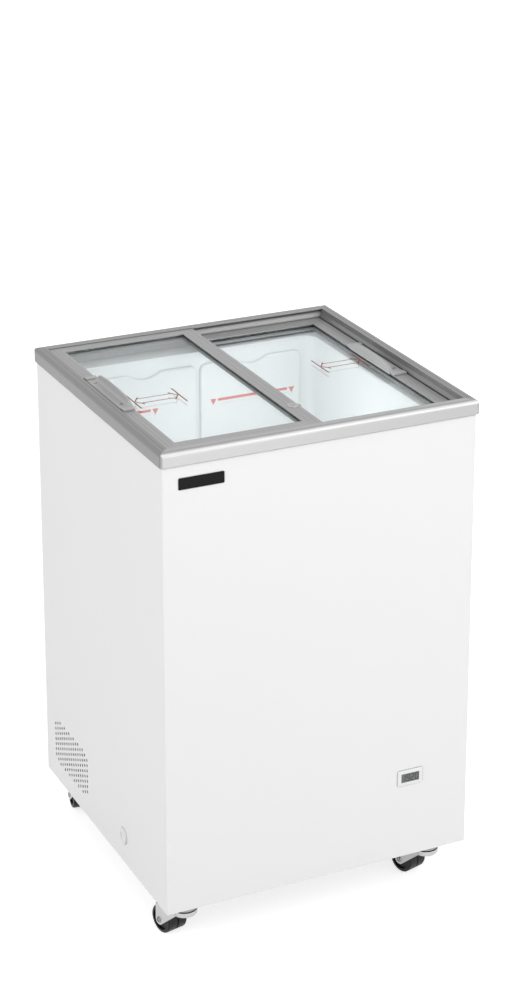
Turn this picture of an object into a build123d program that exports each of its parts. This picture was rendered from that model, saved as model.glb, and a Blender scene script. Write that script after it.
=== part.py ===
from build123d import *
import math
import os

# A chest freezer for ice cream: two glass lids slide in a plastic top frame, and it rolls on four castors.
# Millimetres, +Z up, and the front faces -Y. The origin is on the floor under the middle of the frame.

# Size across the top frame, and from the floor to its top
overall_width = 573.0
overall_depth = 564.0
frame_top = 889.0

# Cabinet sheets
castor_height = 69.0
wrap_sheet = 0.8
wrap_bend = 3.0
wrap_return = 16.0
base_sheet = 1.5
base_flange = 18.0
base_flange_gap = 0.3

# Top frame rails, in widths from the outer face (u) and depths below the top (t)
frame_height = 25.0
frame_overhang = 4.0
frame_nose = 8.0
frame_corner_radius = 5.0
ledge_width = 20.0
ledge_edge_round = 0.8
ledge_groove_at = 12.5
groove_width = 0.9
groove_depth = 0.6
frame_leg_start = 9.0
well_depth = 33.0
well_wall = 22.5
right_well_wall = 24.5
right_cove_start = 8.0
right_cove_depth = 15.0
side_wall_draft = 2.0
mitre_reach = 1.0
slot_lip = 2.5
slot_height = 4.1
upper_slot_bottom = 12.0
lower_slot_lip = 17.4
lower_slot_bottom = 14.5
cove_start = 9.0
cove_depth = 14.0
cove_radius = 2.0
right_cove_lean = 0.8
right_cove_radius = 8.0
right_cove_foot_radius = 5.0

# Tank
wall_thickness = 55.0
tank_sheet = 2.0
tank_floor_above_base = 73.0
tank_corner_radius = 22.0
tank_floor_radius = 10.0
tank_flange_start = 14.0
tank_mouth_round = 1.8
step_wall = 47.0
step_insulation = 41.0
bay_top_below_frame = 57.0
bay_depth = 6.0
bay_side_margin = 14.0
bay_gap = 8.0
bay_corner_radius = 12.0
bay_edge_round = 4.0
bay_bottom_above_step = 40.0
scoop_width = 62.0
scoop_depth = 11.0
scoop_blend = 12.0

# Machine compartment at the back of the base
compartment_depth = 218.0
compartment_height = 217.0
compartment_sheet = 0.8
grille_recess = 12.0
grille_sheet = 1.0
louvre_length = 90.0
louvre_height = 5.0
louvre_pitch = 13.0
louvre_rows = 9
louvre_columns = 3
louvre_column_pitch = 112.0
louvre_centre_x = -60.0
grille_screw_margin = 14.0

# Vent of round holes on the left side
vent_from_back = 122.5
vent_above_base = 80.0
vent_hole_radius = 3.0
vent_columns = 15
vent_column_pitch = 11.0
vent_row_pitch = 10.4
vent_full_rows = 9
vent_end_rows = 7

# Lids
bar_right_of_middle = 10.8
bar_cover = 10.5
lid_thickness = 12.0
upper_lid_drop = 2.0
lower_lid_drop = 16.5
lid_side_gap = 0.6
lower_lid_side_gap = 1.5
rail_width = 22.0
lower_rail_width = 25.5
bar_width = 27.6
lower_inner_rail_width = 22.0
lower_lid_end_rail = 28.0
glass_thickness = 4.0
glass_drop = 2.0
glass_bite = 7.5
glass_gap = 0.1
channel_depth = 8.0
tongue_thickness = 3.1
tongue_gap_above = 0.7
tongue_reach_gap = 2.0
track_clearance = 1.5
rail_edge_round = 0.8
rail_groove_width = 0.6
rail_groove_depth = 0.4

# Handles
handle_length = 175.0
handle_centre_y = 8.5
handle_lip_length = 150.0
handle_lip_height = 16.0
handle_lip_shoulder = 12.0
handle_lip_lean = 3.0
handle_lip_thickness = 2.6
handle_base_thickness = 1.6
handle_block_height = 3.6
handle_edge_setback = 0.8
handle_overlap = 1.7
handle_slope_run = 14.0
handle_screw_offset = 57.0
handle_screw_inset = 9.5
handle_foot_inset = 5.0
handle_foot_round = 3.0
handle_tip_round = 0.9
handle_back_radius = 6.0
handle_base_radius = 4.0
handle_base_edge_round = 0.6
handle_block_round = 1.0
screw_head_radius = 2.8
screw_head_height = 1.2
screw_head_round = 0.7
screw_shank_radius = 1.5
screw_length = 8.0
screw_clearance = 0.1

# Lock in the centre bar, its cam and its keeper
lock_from_bar_edge = 10.6
lock_from_front = 112.0
lock_flange_radius = 10.0
lock_flange_height = 1.2
lock_flange_round = 0.8
lock_barrel_radius = 8.0
lock_fit = 0.05
lock_plug_radius = 6.0
lock_tail_size = 5.0
lock_boss_radius = 9.0
lock_boss_shift = 5.5
keyway_width = 1.6
keyway_length = 7.0
keyway_depth = 6.0
cam_thickness = 1.6
cam_drop = 0.3
cam_length = 15.0
cam_width = 7.0
cam_end_round = 2.0
cam_hub_radius = 5.0
keeper_width = 4.5
keeper_length = 10.0
keeper_height = 1.9
keeper_gap = 2.5
keeper_corner_round = 1.0
seal_width = 4.0
seal_height = 2.0
seal_inset = 1.5
seal_break = 24.0

# Drain
drain_from_front = 188.0
drain_above_base = 50.0
drain_from_tank_side = 57.5
drain_tube_radius = 8.4
drain_bore_radius = 6.6
drain_bend_radius = 11.0
drain_collar_radius = 15.0
drain_collar_thickness = 0.8
drain_plug_radius = 13.8
drain_plug_thickness = 2.2
drain_plug_edge_round = 1.3
drain_plug_recess_radius = 8.0
drain_plug_recess_depth = 1.5
drain_stem_length = 18.0
drain_stem_gap = 0.08

# Front trim: name plate and thermometer
badge_from_side = 28.5
badge_width = 78.5
badge_height = 19.0
badge_thickness = 1.2
badge_centre_below_frame = 32.5
badge_corner_radius = 0.8
thermometer_from_side = 88.0
thermometer_width = 48.0
thermometer_height = 28.5
thermometer_above_base = 150.5
bezel_thickness = 1.8
bezel_corner_radius = 2.0
bezel_edge_chamfer = 0.8
thermometer_body_width = 45.8
thermometer_body_height = 26.2
thermometer_body_depth = 13.0
cutout_gap = 0.2
window_width = 34.5
window_height = 16.5
window_depth = 1.0
window_set_back = 0.3

# Castors
castor_left_inset = 45.0
castor_right_inset = 69.0
front_castor_inset_y = 27.5
rear_castor_inset_y = 88.0
castor_trail = 42.5
race_radius = 21.5
race_height = 6.3
race_edge_round = 1.5
lower_race_radius = 17.0
lower_race_gap = 1.3
stem_radius = 5.0
stem_rise = 13.0
stem_clearance = 0.3
nut_radius = 9.0
nut_height = 6.5
pin_head_radius = 8.0
pin_head_height = 2.0
crown_radius = 22.0
crown_sheet = 2.5
crown_height_above_wheel = 1.2
crown_rim_height = 10.3
crown_edge_round = 5.0
fork_sheet = 2.0
fork_gap = 1.0
fork_end_radius = 9.0
fork_tip_radius = 8.0
fork_root = -5.0
fork_root_rise = 3.0
fork_shoulder_rise = 7.0
fork_shoulder_at = 8.0
fork_slope_end = 4.0
fork_corner_round = 3.0
wheel_radius = 25.0
wheel_width = 38.0
wheel_edge_round = 3.0
wheel_groove_width = 2.2
wheel_groove_depth = 3.0
wheel_face_recess = 3.5
wheel_rim = 6.0
wheel_hub_radius = 9.0
axle_radius = 4.0
axle_head_radius = 5.5
axle_head_height = 1.6
axle_head_round = 1.3
axle_ring_outer_radius = 3.7
axle_ring_inner_radius = 2.2
axle_ring_depth = 1.0
running_gap = 0.05
castor_angles = {"fl": 103.0, "fr": 106.0, "rl": 82.0, "rr": 100.0}

# Cooling circuit
suction_radius = 4.0
liquid_radius = 2.4
pipe_gap = 0.3
evaporator_turns = 8
evaporator_pitch = 50.0
evaporator_above_base = 291.0
condenser_passes = 8
condenser_pitch = 58.0
condenser_above_base = 261.0
condenser_bend = 22.0
condenser_from_back = 53.0
riser_from_back = 38.0
return_from_back = 28.0
riser_bend = 10.0
riser_run = 25.0
evaporator_return_pitch = 60.0
discharge_branch_pitch = 30.0
condenser_riser_from_side = 82.5
condenser_return_from_side = 42.5
suction_above_base = 121.0
discharge_above_base = 66.0
stub_length = 10.0
drier_radius = 9.0
drier_length = 90.0
drier_top_above_base = 166.0
drier_neck = 12.0
drier_end_round = 4.5
capillary_radius = 1.0
capillary_above_base = 43.0
capillary_join_above_base = 166.0
compressor_from_side = 172.5
compressor_from_back = 118.0
compressor_length = 150.0
compressor_width = 112.0
compressor_above_base = 23.0
compressor_body_height = 138.0
compressor_seam = 4.0
compressor_seam_height = 5.0
compressor_seam_rise = 10.0
compressor_foot_sheet = 2.5
compressor_foot_length = 190.0
compressor_foot_width = 90.0
compressor_foot_inset = 12.0
grommet_radius = 9.0
grommet_neck_radius = 6.0
grommet_cap_height = 3.0
stud_radius = 3.0
relay_depth = 32.0
relay_overlap = 8.0
relay_corner_radius = 3.0
relay_width = 60.0
relay_height = 62.0

# Thermostat and mains cord gland on the back grille
control_from_side = 67.5
thermostat_above_base = 131.0
thermostat_body_width = 46.0
thermostat_body_height = 30.0
thermostat_body_depth = 26.0
thermostat_corner_round = 3.0
spindle_radius = 3.0
spindle_reach = 6.2
knob_radius = 16.0
knob_thickness = 9.0
knob_disc_thickness = 4.5
knob_grip_width = 6.0
knob_grip_inset = 2.0
knob_edge_round = 1.0
knob_gap = 0.8
gland_above_base = 43.0
gland_bore_radius = 4.25
gland_neck_radius = 8.0
gland_flange_radius = 11.0
gland_flange_thickness = 3.0
gland_length = 14.0

# Places worked out from the sizes
half_width = overall_width / 2
half_depth = overall_depth / 2
frame_underside = frame_top - frame_height
cabinet_half_width = half_width - frame_overhang
cabinet_half_depth = half_depth - frame_overhang
inside_half_width = cabinet_half_width - wrap_sheet
inside_front = -(cabinet_half_depth - wrap_sheet)
back_panel_outside = cabinet_half_depth - wrap_sheet
back_panel_inside = back_panel_outside - wrap_sheet
base_top = castor_height + base_sheet
compartment_top = castor_height + compartment_height
compartment_front = cabinet_half_depth - compartment_depth
well_bottom = frame_top - well_depth
tank_floor_height = castor_height + tank_floor_above_base
step_height = compartment_top + step_insulation
step_front = compartment_front - step_wall
tank_half_width = cabinet_half_width - wall_thickness
tank_half_depth = cabinet_half_depth - wall_thickness
upper_lid_left = -half_width + ledge_width + lid_side_gap
lower_lid_right = half_width - right_well_wall - lower_lid_side_gap
upper_lid_top = frame_top - upper_lid_drop
lower_lid_top = frame_top - lower_lid_drop
upper_bar_right = (upper_lid_left + lower_lid_right) / 2 + bar_right_of_middle
lower_lid_left = upper_bar_right - bar_cover
grille_outside = cabinet_half_depth - grille_recess
lock_x = upper_bar_right - lock_from_bar_edge
lock_y = -half_depth + lock_from_front
badge_left = -cabinet_half_width + badge_from_side
thermometer_left = cabinet_half_width - thermometer_from_side - thermometer_width
thermometer_centre_z = castor_height + thermometer_above_base
vent_centre_y = cabinet_half_depth - vent_from_back
vent_centre_z = castor_height + vent_above_base
drain_y = -cabinet_half_depth + drain_from_front
drain_z = castor_height + drain_above_base
drain_x_in_tank = -tank_half_width + drain_from_tank_side
control_x = cabinet_half_width - control_from_side
thermostat_z = castor_height + thermostat_above_base
gland_z = castor_height + gland_above_base
compressor_x = cabinet_half_width - compressor_from_side
compressor_y = cabinet_half_depth - compressor_from_back
compressor_base = castor_height + compressor_above_base
suction_height = castor_height + suction_above_base
discharge_height = castor_height + discharge_above_base
stub_end = compressor_x - compressor_length / 2 - stub_length
riser_y = cabinet_half_depth - riser_from_back
return_y = cabinet_half_depth - return_from_back
evaporator_start = castor_height + evaporator_above_base
evaporator_riser_x = stub_end - riser_run
evaporator_return_x = evaporator_riser_x + evaporator_return_pitch
condenser_start = castor_height + condenser_above_base
condenser_back = cabinet_half_depth - condenser_from_back
condenser_riser_x = -cabinet_half_width + condenser_riser_from_side
condenser_return_x = -cabinet_half_width + condenser_return_from_side
drier_top = castor_height + drier_top_above_base
capillary_height = castor_height + capillary_above_base
capillary_join = castor_height + capillary_join_above_base
crown_underside = 2 * wheel_radius + crown_height_above_wheel
fork_half_gap = wheel_width / 2 + fork_gap
lip_foot_drop = glass_drop - glass_gap


def slab(x0, x1, y0, y1, z0, z1):
    """A block between two corners."""
    centre = Location(((x0 + x1) / 2, (y0 + y1) / 2, (z0 + z1) / 2))
    return centre * Box(x1 - x0, y1 - y0, z1 - z0)


def outline(*corners):
    """A closed face from (x, y, radius) corners."""
    points = [(x, y) for x, y, _ in corners]
    radii = [radius for _, _, radius in corners]
    return make_face(FilletPolyline(*points, radius=radii, close=True))


def along_x(face, x0, x1):
    """A face drawn in Y and Z, drawn out between two X positions."""
    return Location((x0, 0, 0)) * extrude(Plane.YZ * face, amount=x1 - x0)


def along_y(face, y0, y1):
    """A face drawn in X and Z, drawn out between two Y positions."""
    return Location((0, y1, 0)) * extrude(Plane.XZ * face, amount=y1 - y0)


def along_z(face, z0, z1):
    """A face drawn in X and Y, drawn out between two heights."""
    return Location((0, 0, z0)) * extrude(face, amount=z1 - z0)


def rod_z(x, y, radius, z0, z1):
    """An upright cylinder."""
    return Location((x, y, (z0 + z1) / 2)) * Cylinder(radius, z1 - z0)


def rod_x(y, z, radius, x0, x1):
    """A cylinder along X."""
    return Location(((x0 + x1) / 2, y, z), (0, 90, 0)) * Cylinder(radius, x1 - x0)


def rod_y(x, z, radius, y0, y1):
    """A cylinder along Y."""
    return Location((x, (y0 + y1) / 2, z), (90, 0, 0)) * Cylinder(radius, y1 - y0)


def pipe(points, bends, radius):
    """A round bar along straight runs joined by arcs."""
    path = FilletPolyline(*points, radius=bends)
    section = Plane(origin=path @ 0, z_dir=path % 0) * Circle(radius)
    return sweep(section, path=path)


def upright_edges(shape):
    """The edges that run along Z."""
    return shape.edges().filter_by(Axis.Z)


def save(shape, name):
    """Writes one sub-part."""
    shape.label = name
    export_step(shape, "parts/" + name + ".step")


# Cabinet


def vent_places():
    """Y and Z of each vent hole. Columns swap between odd and even counts, so that the rows are staggered."""
    places = []
    for column in range(vent_columns):
        y = vent_centre_y + (column - (vent_columns - 1) / 2) * vent_column_pitch
        rows = vent_full_rows if column % 2 == 0 else vent_full_rows - 1
        if column in (0, vent_columns - 1):
            rows = vent_end_rows
        for row in range(rows):
            places.append((y, vent_centre_z + (row - (rows - 1) / 2) * vent_row_pitch))
    return places


def outer_wrap():
    """Painted sheet bent round the front and both sides, with returns at the back."""
    height = frame_underside - castor_height
    middle_z = castor_height + height / 2
    outside = Location((0, 0, middle_z)) * Box(2 * cabinet_half_width, 2 * cabinet_half_depth, height)
    front_edges = upright_edges(outside).sort_by(Axis.Y)[:2]
    outside = fillet(front_edges, wrap_bend)
    inside = slab(-inside_half_width, inside_half_width, inside_front, cabinet_half_depth + 1,
                  castor_height - 1, frame_underside + 1)
    inside = fillet(upright_edges(inside).sort_by(Axis.Y)[:2], wrap_bend - wrap_sheet)
    wrap = outside - inside
    for side in (-1, 1):
        x0, x1 = sorted((side * (cabinet_half_width - wrap_return), side * cabinet_half_width))
        wrap += slab(x0, x1, back_panel_outside, cabinet_half_depth, castor_height, frame_underside)
    holes = [rod_x(y, z, vent_hole_radius, -cabinet_half_width - 1, -cabinet_half_width + 2)
             for y, z in vent_places()]
    holes.append(rod_x(drain_y, drain_z, drain_tube_radius + cutout_gap,
                       -cabinet_half_width - 1, -cabinet_half_width + 2))
    body_x = thermometer_left + thermometer_width / 2
    holes.append(slab(body_x - thermometer_body_width / 2 - cutout_gap,
                      body_x + thermometer_body_width / 2 + cutout_gap,
                      -cabinet_half_depth - 1, inside_front + 1,
                      thermometer_centre_z - thermometer_body_height / 2 - cutout_gap,
                      thermometer_centre_z + thermometer_body_height / 2 + cutout_gap))
    return wrap - holes


def back_panel():
    """Flat sheet behind the insulation, above the machine compartment."""
    return slab(-inside_half_width, inside_half_width, back_panel_inside, back_panel_outside,
                compartment_top, frame_underside)


def castor_centres():
    """The swivel axis of each castor."""
    left = -half_width + castor_left_inset
    right = half_width - castor_right_inset
    front = -half_depth + front_castor_inset_y
    rear = half_depth - rear_castor_inset_y
    return {"fl": (left, front), "fr": (right, front), "rl": (left, rear), "rr": (right, rear)}


def compressor_studs():
    """X and Y of the four studs that carry the compressor."""
    reach_x = compressor_foot_length / 2 - compressor_foot_inset
    reach_y = compressor_foot_width / 2 - compressor_foot_inset
    return [(compressor_x + sx * reach_x, compressor_y + sy * reach_y) for sx in (-1, 1) for sy in (-1, 1)]


def base_pan():
    """Steel floor of the cabinet, turned up at the front and sides, with the compressor's studs."""
    x = inside_half_width - base_flange_gap
    front = inside_front + base_flange_gap
    back = back_panel_outside - base_flange_gap
    pan = slab(-x, x, front, back, castor_height, base_top + base_flange)
    pan = fillet(upright_edges(pan).sort_by(Axis.Y)[:2], wrap_bend)
    pan -= slab(-x + base_sheet, x - base_sheet, front + base_sheet, back + 1,
                base_top, base_top + base_flange + 1)
    grille_front = grille_outside - grille_sheet - base_flange_gap
    pan -= slab(-x - 1, x + 1, grille_front, back + 1, base_top, base_top + base_flange + 1)
    pan -= [rod_z(px, py, stem_radius + stem_clearance, castor_height - 1, base_top + 1)
            for px, py in castor_centres().values()]
    stud_top = compressor_base + compressor_foot_sheet + grommet_neck_radius
    for px, py in compressor_studs():
        pan += rod_z(px, py, stud_radius, base_top - base_sheet / 2, stud_top)
    return pan


def riser_holes():
    """X, Y and hole radius of the pipes that pass the roof of the machine compartment."""
    return [(evaporator_riser_x, riser_y, suction_radius + pipe_gap),
            (evaporator_return_x, return_y, suction_radius + pipe_gap),
            (condenser_riser_x, riser_y, liquid_radius + pipe_gap),
            (condenser_return_x, return_y, liquid_radius + pipe_gap)]


def compartment_panel():
    """Folded sheet between the insulation and the machine compartment."""
    x = inside_half_width - base_flange_gap
    panel = slab(-x, x, compartment_front, compartment_front + compartment_sheet,
                 base_top, compartment_top)
    panel += slab(-x, x, compartment_front, back_panel_inside - base_flange_gap,
                  compartment_top - compartment_sheet, compartment_top)
    corner = base_flange + base_top + base_flange_gap
    for side in (-1, 1):
        x0, x1 = sorted((side * (x - base_sheet - base_flange_gap), side * (x + 1)))
        panel -= slab(x0, x1, compartment_front - 1, compartment_front + 2, base_top - 1, corner)
    return panel - [rod_z(px, py, r, compartment_top - 2, compartment_top + 1) for px, py, r in riser_holes()]


def grille_screw_places():
    """X and Z of the screws that hold the back grille."""
    x = inside_half_width - grille_screw_margin
    low = base_top + base_flange + grille_screw_margin
    high = compartment_top - grille_screw_margin
    return [(sx * x, z) for sx in (-1, 1) for z in (low, (low + high) / 2, high)]


def rear_grille():
    """Recessed back cover of the machine compartment, with louvres and holes for thermostat and gland."""
    x = inside_half_width - base_flange_gap
    top = compartment_top - compartment_sheet - base_flange_gap
    inner = grille_outside - grille_sheet
    back = back_panel_outside - base_flange_gap
    cover = slab(-x, x, inner, back, base_top, top)
    cover -= slab(-x + grille_sheet, x - grille_sheet, grille_outside, back + 1,
                  base_top + grille_sheet, top - grille_sheet)
    middle = (base_top + top) / 2
    cuts = []
    for column in range(louvre_columns):
        for row in range(louvre_rows):
            cx = louvre_centre_x + (column - (louvre_columns - 1) / 2) * louvre_column_pitch
            cz = middle + (row - (louvre_rows - 1) / 2) * louvre_pitch
            slot = SlotOverall(louvre_length, louvre_height)
            cuts.append(along_y(Location((cx, cz)) * slot, inner - 1, grille_outside + 1))
    cuts.append(rod_y(control_x, thermostat_z, spindle_radius + screw_clearance, inner - 1, back))
    cuts.append(rod_y(control_x, gland_z, gland_neck_radius + screw_clearance, inner - 1, back))
    for px, pz in grille_screw_places():
        cuts.append(rod_y(px, pz, screw_shank_radius + screw_clearance, inner - 1, back))
    return cover - cuts


def grille_screws():
    """Pan head screws of the back grille."""
    screws = Part()
    for px, pz in grille_screw_places():
        head = rod_y(px, pz, screw_head_radius, grille_outside, grille_outside + screw_head_height)
        shank = rod_y(px, pz, screw_shank_radius, grille_outside - screw_length, grille_outside)
        screws += head + shank
    return screws


# Tank


def tank_space(grow, floor, step_top):
    """The hollow of the tank, grown outwards: a box with a step over the machine compartment."""
    x = tank_half_width + grow
    y = tank_half_depth + grow
    space = slab(-x, x, -y, y, floor, well_bottom + 1)
    space = fillet(upright_edges(space), tank_corner_radius + grow)
    step = slab(-x - 1, x + 1, step_front + grow, y + 1, floor - 1, step_top)
    space -= step
    low_edges = space.edges().filter_by(lambda e: e.center().Z < floor + 0.1)
    return fillet(low_edges, tank_floor_radius + grow)


def bay_face(x0, x1):
    """Outline of one raised bay on the tank's back wall, with a finger scoop in its top edge."""
    top = frame_top - bay_top_below_frame
    low = step_height + bay_bottom_above_step
    bay = outline((x0, low, bay_corner_radius), (x1, low, bay_corner_radius),
                  (x1, top, bay_corner_radius), (x0, top, bay_corner_radius))
    half = scoop_width / 2
    middle = (x0 + x1) / 2
    radius = (half ** 2 + scoop_depth ** 2) / (2 * scoop_depth)
    bay -= Location((middle, top + radius - scoop_depth)) * Circle(radius)
    ends = bay.vertices().filter_by(lambda v: abs(abs(v.X - middle) - half) < 0.1 and abs(v.Y - top) < 0.1)
    return fillet(ends, scoop_blend)


def tank_liner():
    """Moulded white tank with a flange under the frame, a step and two raised bays on its back wall."""
    hollow = tank_space(0, tank_floor_height, step_height)
    liner = tank_space(tank_sheet, tank_floor_height - tank_sheet, step_height - tank_sheet)
    liner -= slab(-half_width, half_width, -half_depth, half_depth, well_bottom, well_bottom + 2)
    flange_x = half_width - tank_flange_start
    flange_y = half_depth - tank_flange_start
    liner += slab(-flange_x, flange_x, -flange_y, flange_y, well_bottom - tank_sheet, well_bottom)
    liner -= hollow
    mouth = liner.edges().filter_by(lambda e: e.center().Z > well_bottom - 0.01)
    mouth = mouth.filter_by(lambda e: abs(e.center().X) < tank_half_width + 0.1)
    mouth = mouth.filter_by(lambda e: abs(e.center().Y) < tank_half_depth + 0.1)
    liner = fillet(mouth, tank_mouth_round)
    wall = tank_half_depth
    left = -tank_half_width + bay_side_margin + tank_corner_radius / 2
    for x0, x1 in ((left, -bay_gap / 2), (bay_gap / 2, -left)):
        bay = along_y(bay_face(x0, x1), wall - bay_depth, wall + tank_sheet / 2)
        liner += fillet(bay.faces().sort_by(Axis.Y)[0].edges(), bay_edge_round)
    return liner - rod_z(drain_x_in_tank, drain_y, drain_bore_radius, tank_floor_height - tank_sheet - 1,
                         tank_floor_height + 1)


# Cooling circuit


def evaporator_points():
    """Runs of the evaporator pipe: up from the compressor, round the tank in turns, and back down."""
    reach = tank_sheet + suction_radius + pipe_gap
    x = tank_half_width + reach
    y = tank_half_depth + reach
    points = [(stub_end, compressor_y, suction_height),
              (evaporator_riser_x, compressor_y, suction_height),
              (evaporator_riser_x, riser_y, suction_height),
              (evaporator_riser_x, riser_y, evaporator_start)]
    bends = [riser_bend, riser_bend, riser_bend]
    for turn in range(evaporator_turns):
        z = evaporator_start + turn * evaporator_pitch
        points += [(-x, y, z), (-x, -y, z), (x, -y, z), (x, y, z)]
        bends += [tank_corner_radius + reach] * 4
    top = evaporator_start + (evaporator_turns - 1) * evaporator_pitch
    points += [(evaporator_return_x, return_y, top), (evaporator_return_x, return_y, capillary_join)]
    bends += [riser_bend]
    return points, bends


def condenser_points():
    """Runs of the condenser pipe: up from the compressor, to and fro behind the wrap, and back down."""
    x = inside_half_width - liquid_radius - pipe_gap
    front = inside_front + liquid_radius + pipe_gap
    branch = evaporator_riser_x - discharge_branch_pitch
    points = [(stub_end, compressor_y, discharge_height), (branch, compressor_y, discharge_height),
              (branch, riser_y, discharge_height), (condenser_riser_x, riser_y, discharge_height),
              (condenser_riser_x, riser_y, condenser_start)]
    bends = [riser_bend] * 4
    side = -1
    for number in range(condenser_passes):
        z = condenser_start + number * condenser_pitch
        points += [(side * x, condenser_back, z), (side * x, front, z),
                   (-side * x, front, z), (-side * x, condenser_back, z)]
        bends += [condenser_bend] * 4
        side = -side
    top = condenser_start + (condenser_passes - 1) * condenser_pitch
    points += [(condenser_return_x, return_y, top), (condenser_return_x, return_y, drier_top + drier_neck)]
    bends += [riser_bend]
    return points, bends


def filter_drier():
    """Copper drier below the end of the condenser."""
    x, y = condenser_return_x, return_y
    low = drier_top - drier_length
    body = rod_z(x, y, drier_radius, low, drier_top)
    body = fillet(body.edges(), drier_end_round)
    neck = rod_z(x, y, liquid_radius, drier_top - 1, drier_top + drier_neck)
    return body + neck + rod_z(x, y, liquid_radius, low - drier_neck, low + 1)


def capillary_tube():
    """Thin pipe from the drier to the end of the evaporator."""
    low = drier_top - drier_length - drier_neck
    points = [(condenser_return_x, return_y, low), (condenser_return_x, return_y, capillary_height),
              (evaporator_return_x, return_y, capillary_height),
              (evaporator_return_x, return_y, capillary_join)]
    return pipe(points, riser_bend, capillary_radius)


def compressor():
    """Hermetic compressor: an oval welded shell on a foot plate, with a stub for each pipe."""
    oval = Ellipse(compressor_length / 2, compressor_width / 2)
    shell = along_z(oval, compressor_base + compressor_foot_sheet, compressor_base + compressor_body_height)
    shell = fillet(shell.edges().sort_by(Axis.Z)[-1], compressor_width / 4)
    seam_z = compressor_base + compressor_body_height / 2 + compressor_seam_rise
    seam = Ellipse(compressor_length / 2 + compressor_seam, compressor_width / 2 + compressor_seam)
    shell += along_z(seam, seam_z, seam_z + compressor_seam_height)
    foot = Location((0, 0, compressor_base + compressor_foot_sheet / 2)) * Box(
        compressor_foot_length, compressor_foot_width, compressor_foot_sheet)
    side = -compressor_length / 2
    for height, radius in ((suction_height, suction_radius), (discharge_height, liquid_radius)):
        shell += rod_x(0, height, radius, side - stub_length, side + stub_length)
    body = Location((compressor_x, compressor_y, 0)) * (shell + foot)
    neck = grommet_neck_radius + pipe_gap
    return body - [rod_z(px, py, neck, compressor_base - 1, compressor_base + compressor_foot_sheet + 1)
                   for px, py in compressor_studs()]


def compressor_grommets():
    """Rubber mounts between the compressor's foot and the base."""
    mounts = Part()
    top = compressor_base + compressor_foot_sheet
    for px, py in compressor_studs():
        mount = rod_z(px, py, grommet_radius, base_top, compressor_base)
        mount += rod_z(px, py, grommet_neck_radius, compressor_base - 1, top)
        mount += rod_z(px, py, grommet_radius, top, top + grommet_cap_height)
        mounts += mount - rod_z(px, py, stud_radius, base_top - 1, top + grommet_cap_height + 1)
    return mounts


def relay_box():
    """Cover of the compressor's starting relay, clipped on the side of the shell."""
    x0 = compressor_x + compressor_length / 2 - relay_overlap
    z0 = compressor_base + compressor_foot_sheet + grommet_radius
    box = slab(x0, x0 + relay_depth, compressor_y - relay_width / 2, compressor_y + relay_width / 2,
               z0, z0 + relay_height)
    return fillet(upright_edges(box), relay_corner_radius) - compressor()


def foam_insulation(evaporator, condenser):
    """Foam between the tank and the sheets, with channels for the pipes and pockets for the fittings."""
    top = well_bottom - tank_sheet
    foam = slab(-inside_half_width, inside_half_width, inside_front, back_panel_inside, base_top, top)
    foam = fillet(upright_edges(foam).sort_by(Axis.Y)[:2], wrap_bend - wrap_sheet)
    foam -= slab(-half_width, half_width, compartment_front, half_depth, base_top - 1, compartment_top)
    foam -= tank_space(tank_sheet, tank_floor_height - tank_sheet, step_height - tank_sheet)
    low, clear = base_top - 1, base_flange_gap + base_sheet
    rim = slab(-half_width, half_width, -half_depth, compartment_front + 1, low, base_top + base_flange)
    rim -= slab(-inside_half_width + clear, inside_half_width - clear, inside_front + clear,
                compartment_front + 2, low - 1, base_top + base_flange + 1)
    foam -= rim
    foam -= [rod_z(px, py, nut_radius + stem_clearance, low, base_top + stem_rise + 1)
             for px, py in castor_centres().values() if py < compartment_front]
    foam -= drain_body(drain_tube_radius)
    body_x = thermometer_left + thermometer_width / 2
    foam -= slab(body_x - thermometer_body_width / 2 - cutout_gap,
                 body_x + thermometer_body_width / 2 + cutout_gap,
                 inside_front - 1, -cabinet_half_depth + thermometer_body_depth + cutout_gap,
                 thermometer_centre_z - thermometer_body_height / 2 - cutout_gap,
                 thermometer_centre_z + thermometer_body_height / 2 + cutout_gap)
    return foam - evaporator - condenser


# Drain


def drain_body(radius):
    """Solid bar along the drain, from the tank floor to the left side."""
    points = [(drain_x_in_tank, drain_y, tank_floor_height - tank_sheet),
              (drain_x_in_tank, drain_y, drain_z), (-cabinet_half_width, drain_y, drain_z)]
    return pipe(points, drain_bend_radius, radius)


def drain_tube():
    """Bent tube under the tank, with a collar on the outside of the cabinet."""
    outside = -cabinet_half_width - drain_collar_thickness
    tube = drain_body(drain_tube_radius)
    tube += rod_x(drain_y, drain_z, drain_collar_radius, outside, -cabinet_half_width)
    tube -= drain_body(drain_bore_radius)
    return tube - rod_x(drain_y, drain_z, drain_bore_radius, outside - 1, -cabinet_half_width + 1)


def drain_plug():
    """White plug that pulls out of the drain, with a finger recess in its face."""
    back = -cabinet_half_width - drain_collar_thickness
    front = back - drain_plug_thickness
    plug = rod_x(drain_y, drain_z, drain_plug_radius, front, back)
    plug = fillet(plug.edges().sort_by(Axis.X)[0], drain_plug_edge_round)
    plug -= rod_x(drain_y, drain_z, drain_plug_recess_radius, front - 1, front + drain_plug_recess_depth)
    face = front + drain_plug_recess_depth
    return plug + rod_x(drain_y, drain_z, drain_bore_radius - drain_stem_gap, face, back + drain_stem_length)


# Top frame


def nose():
    """The outer and top edge of a frame rail, as (u, t, radius) corners from the underside inwards."""
    corners = [(0, frame_height, 0), (0, 0, frame_nose)]
    corners += [(ledge_groove_at - groove_width / 2, 0, 0), (ledge_groove_at, groove_depth, 0),
                (ledge_groove_at + groove_width / 2, 0, 0)]
    return corners + [(ledge_width, 0, ledge_edge_round)]


def frame_foot(wall):
    """The inner leg of a frame rail, from the well back to the underside."""
    return [(wall, well_depth, 0), (frame_leg_start, well_depth, 0), (frame_leg_start, frame_height, 0)]


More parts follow.
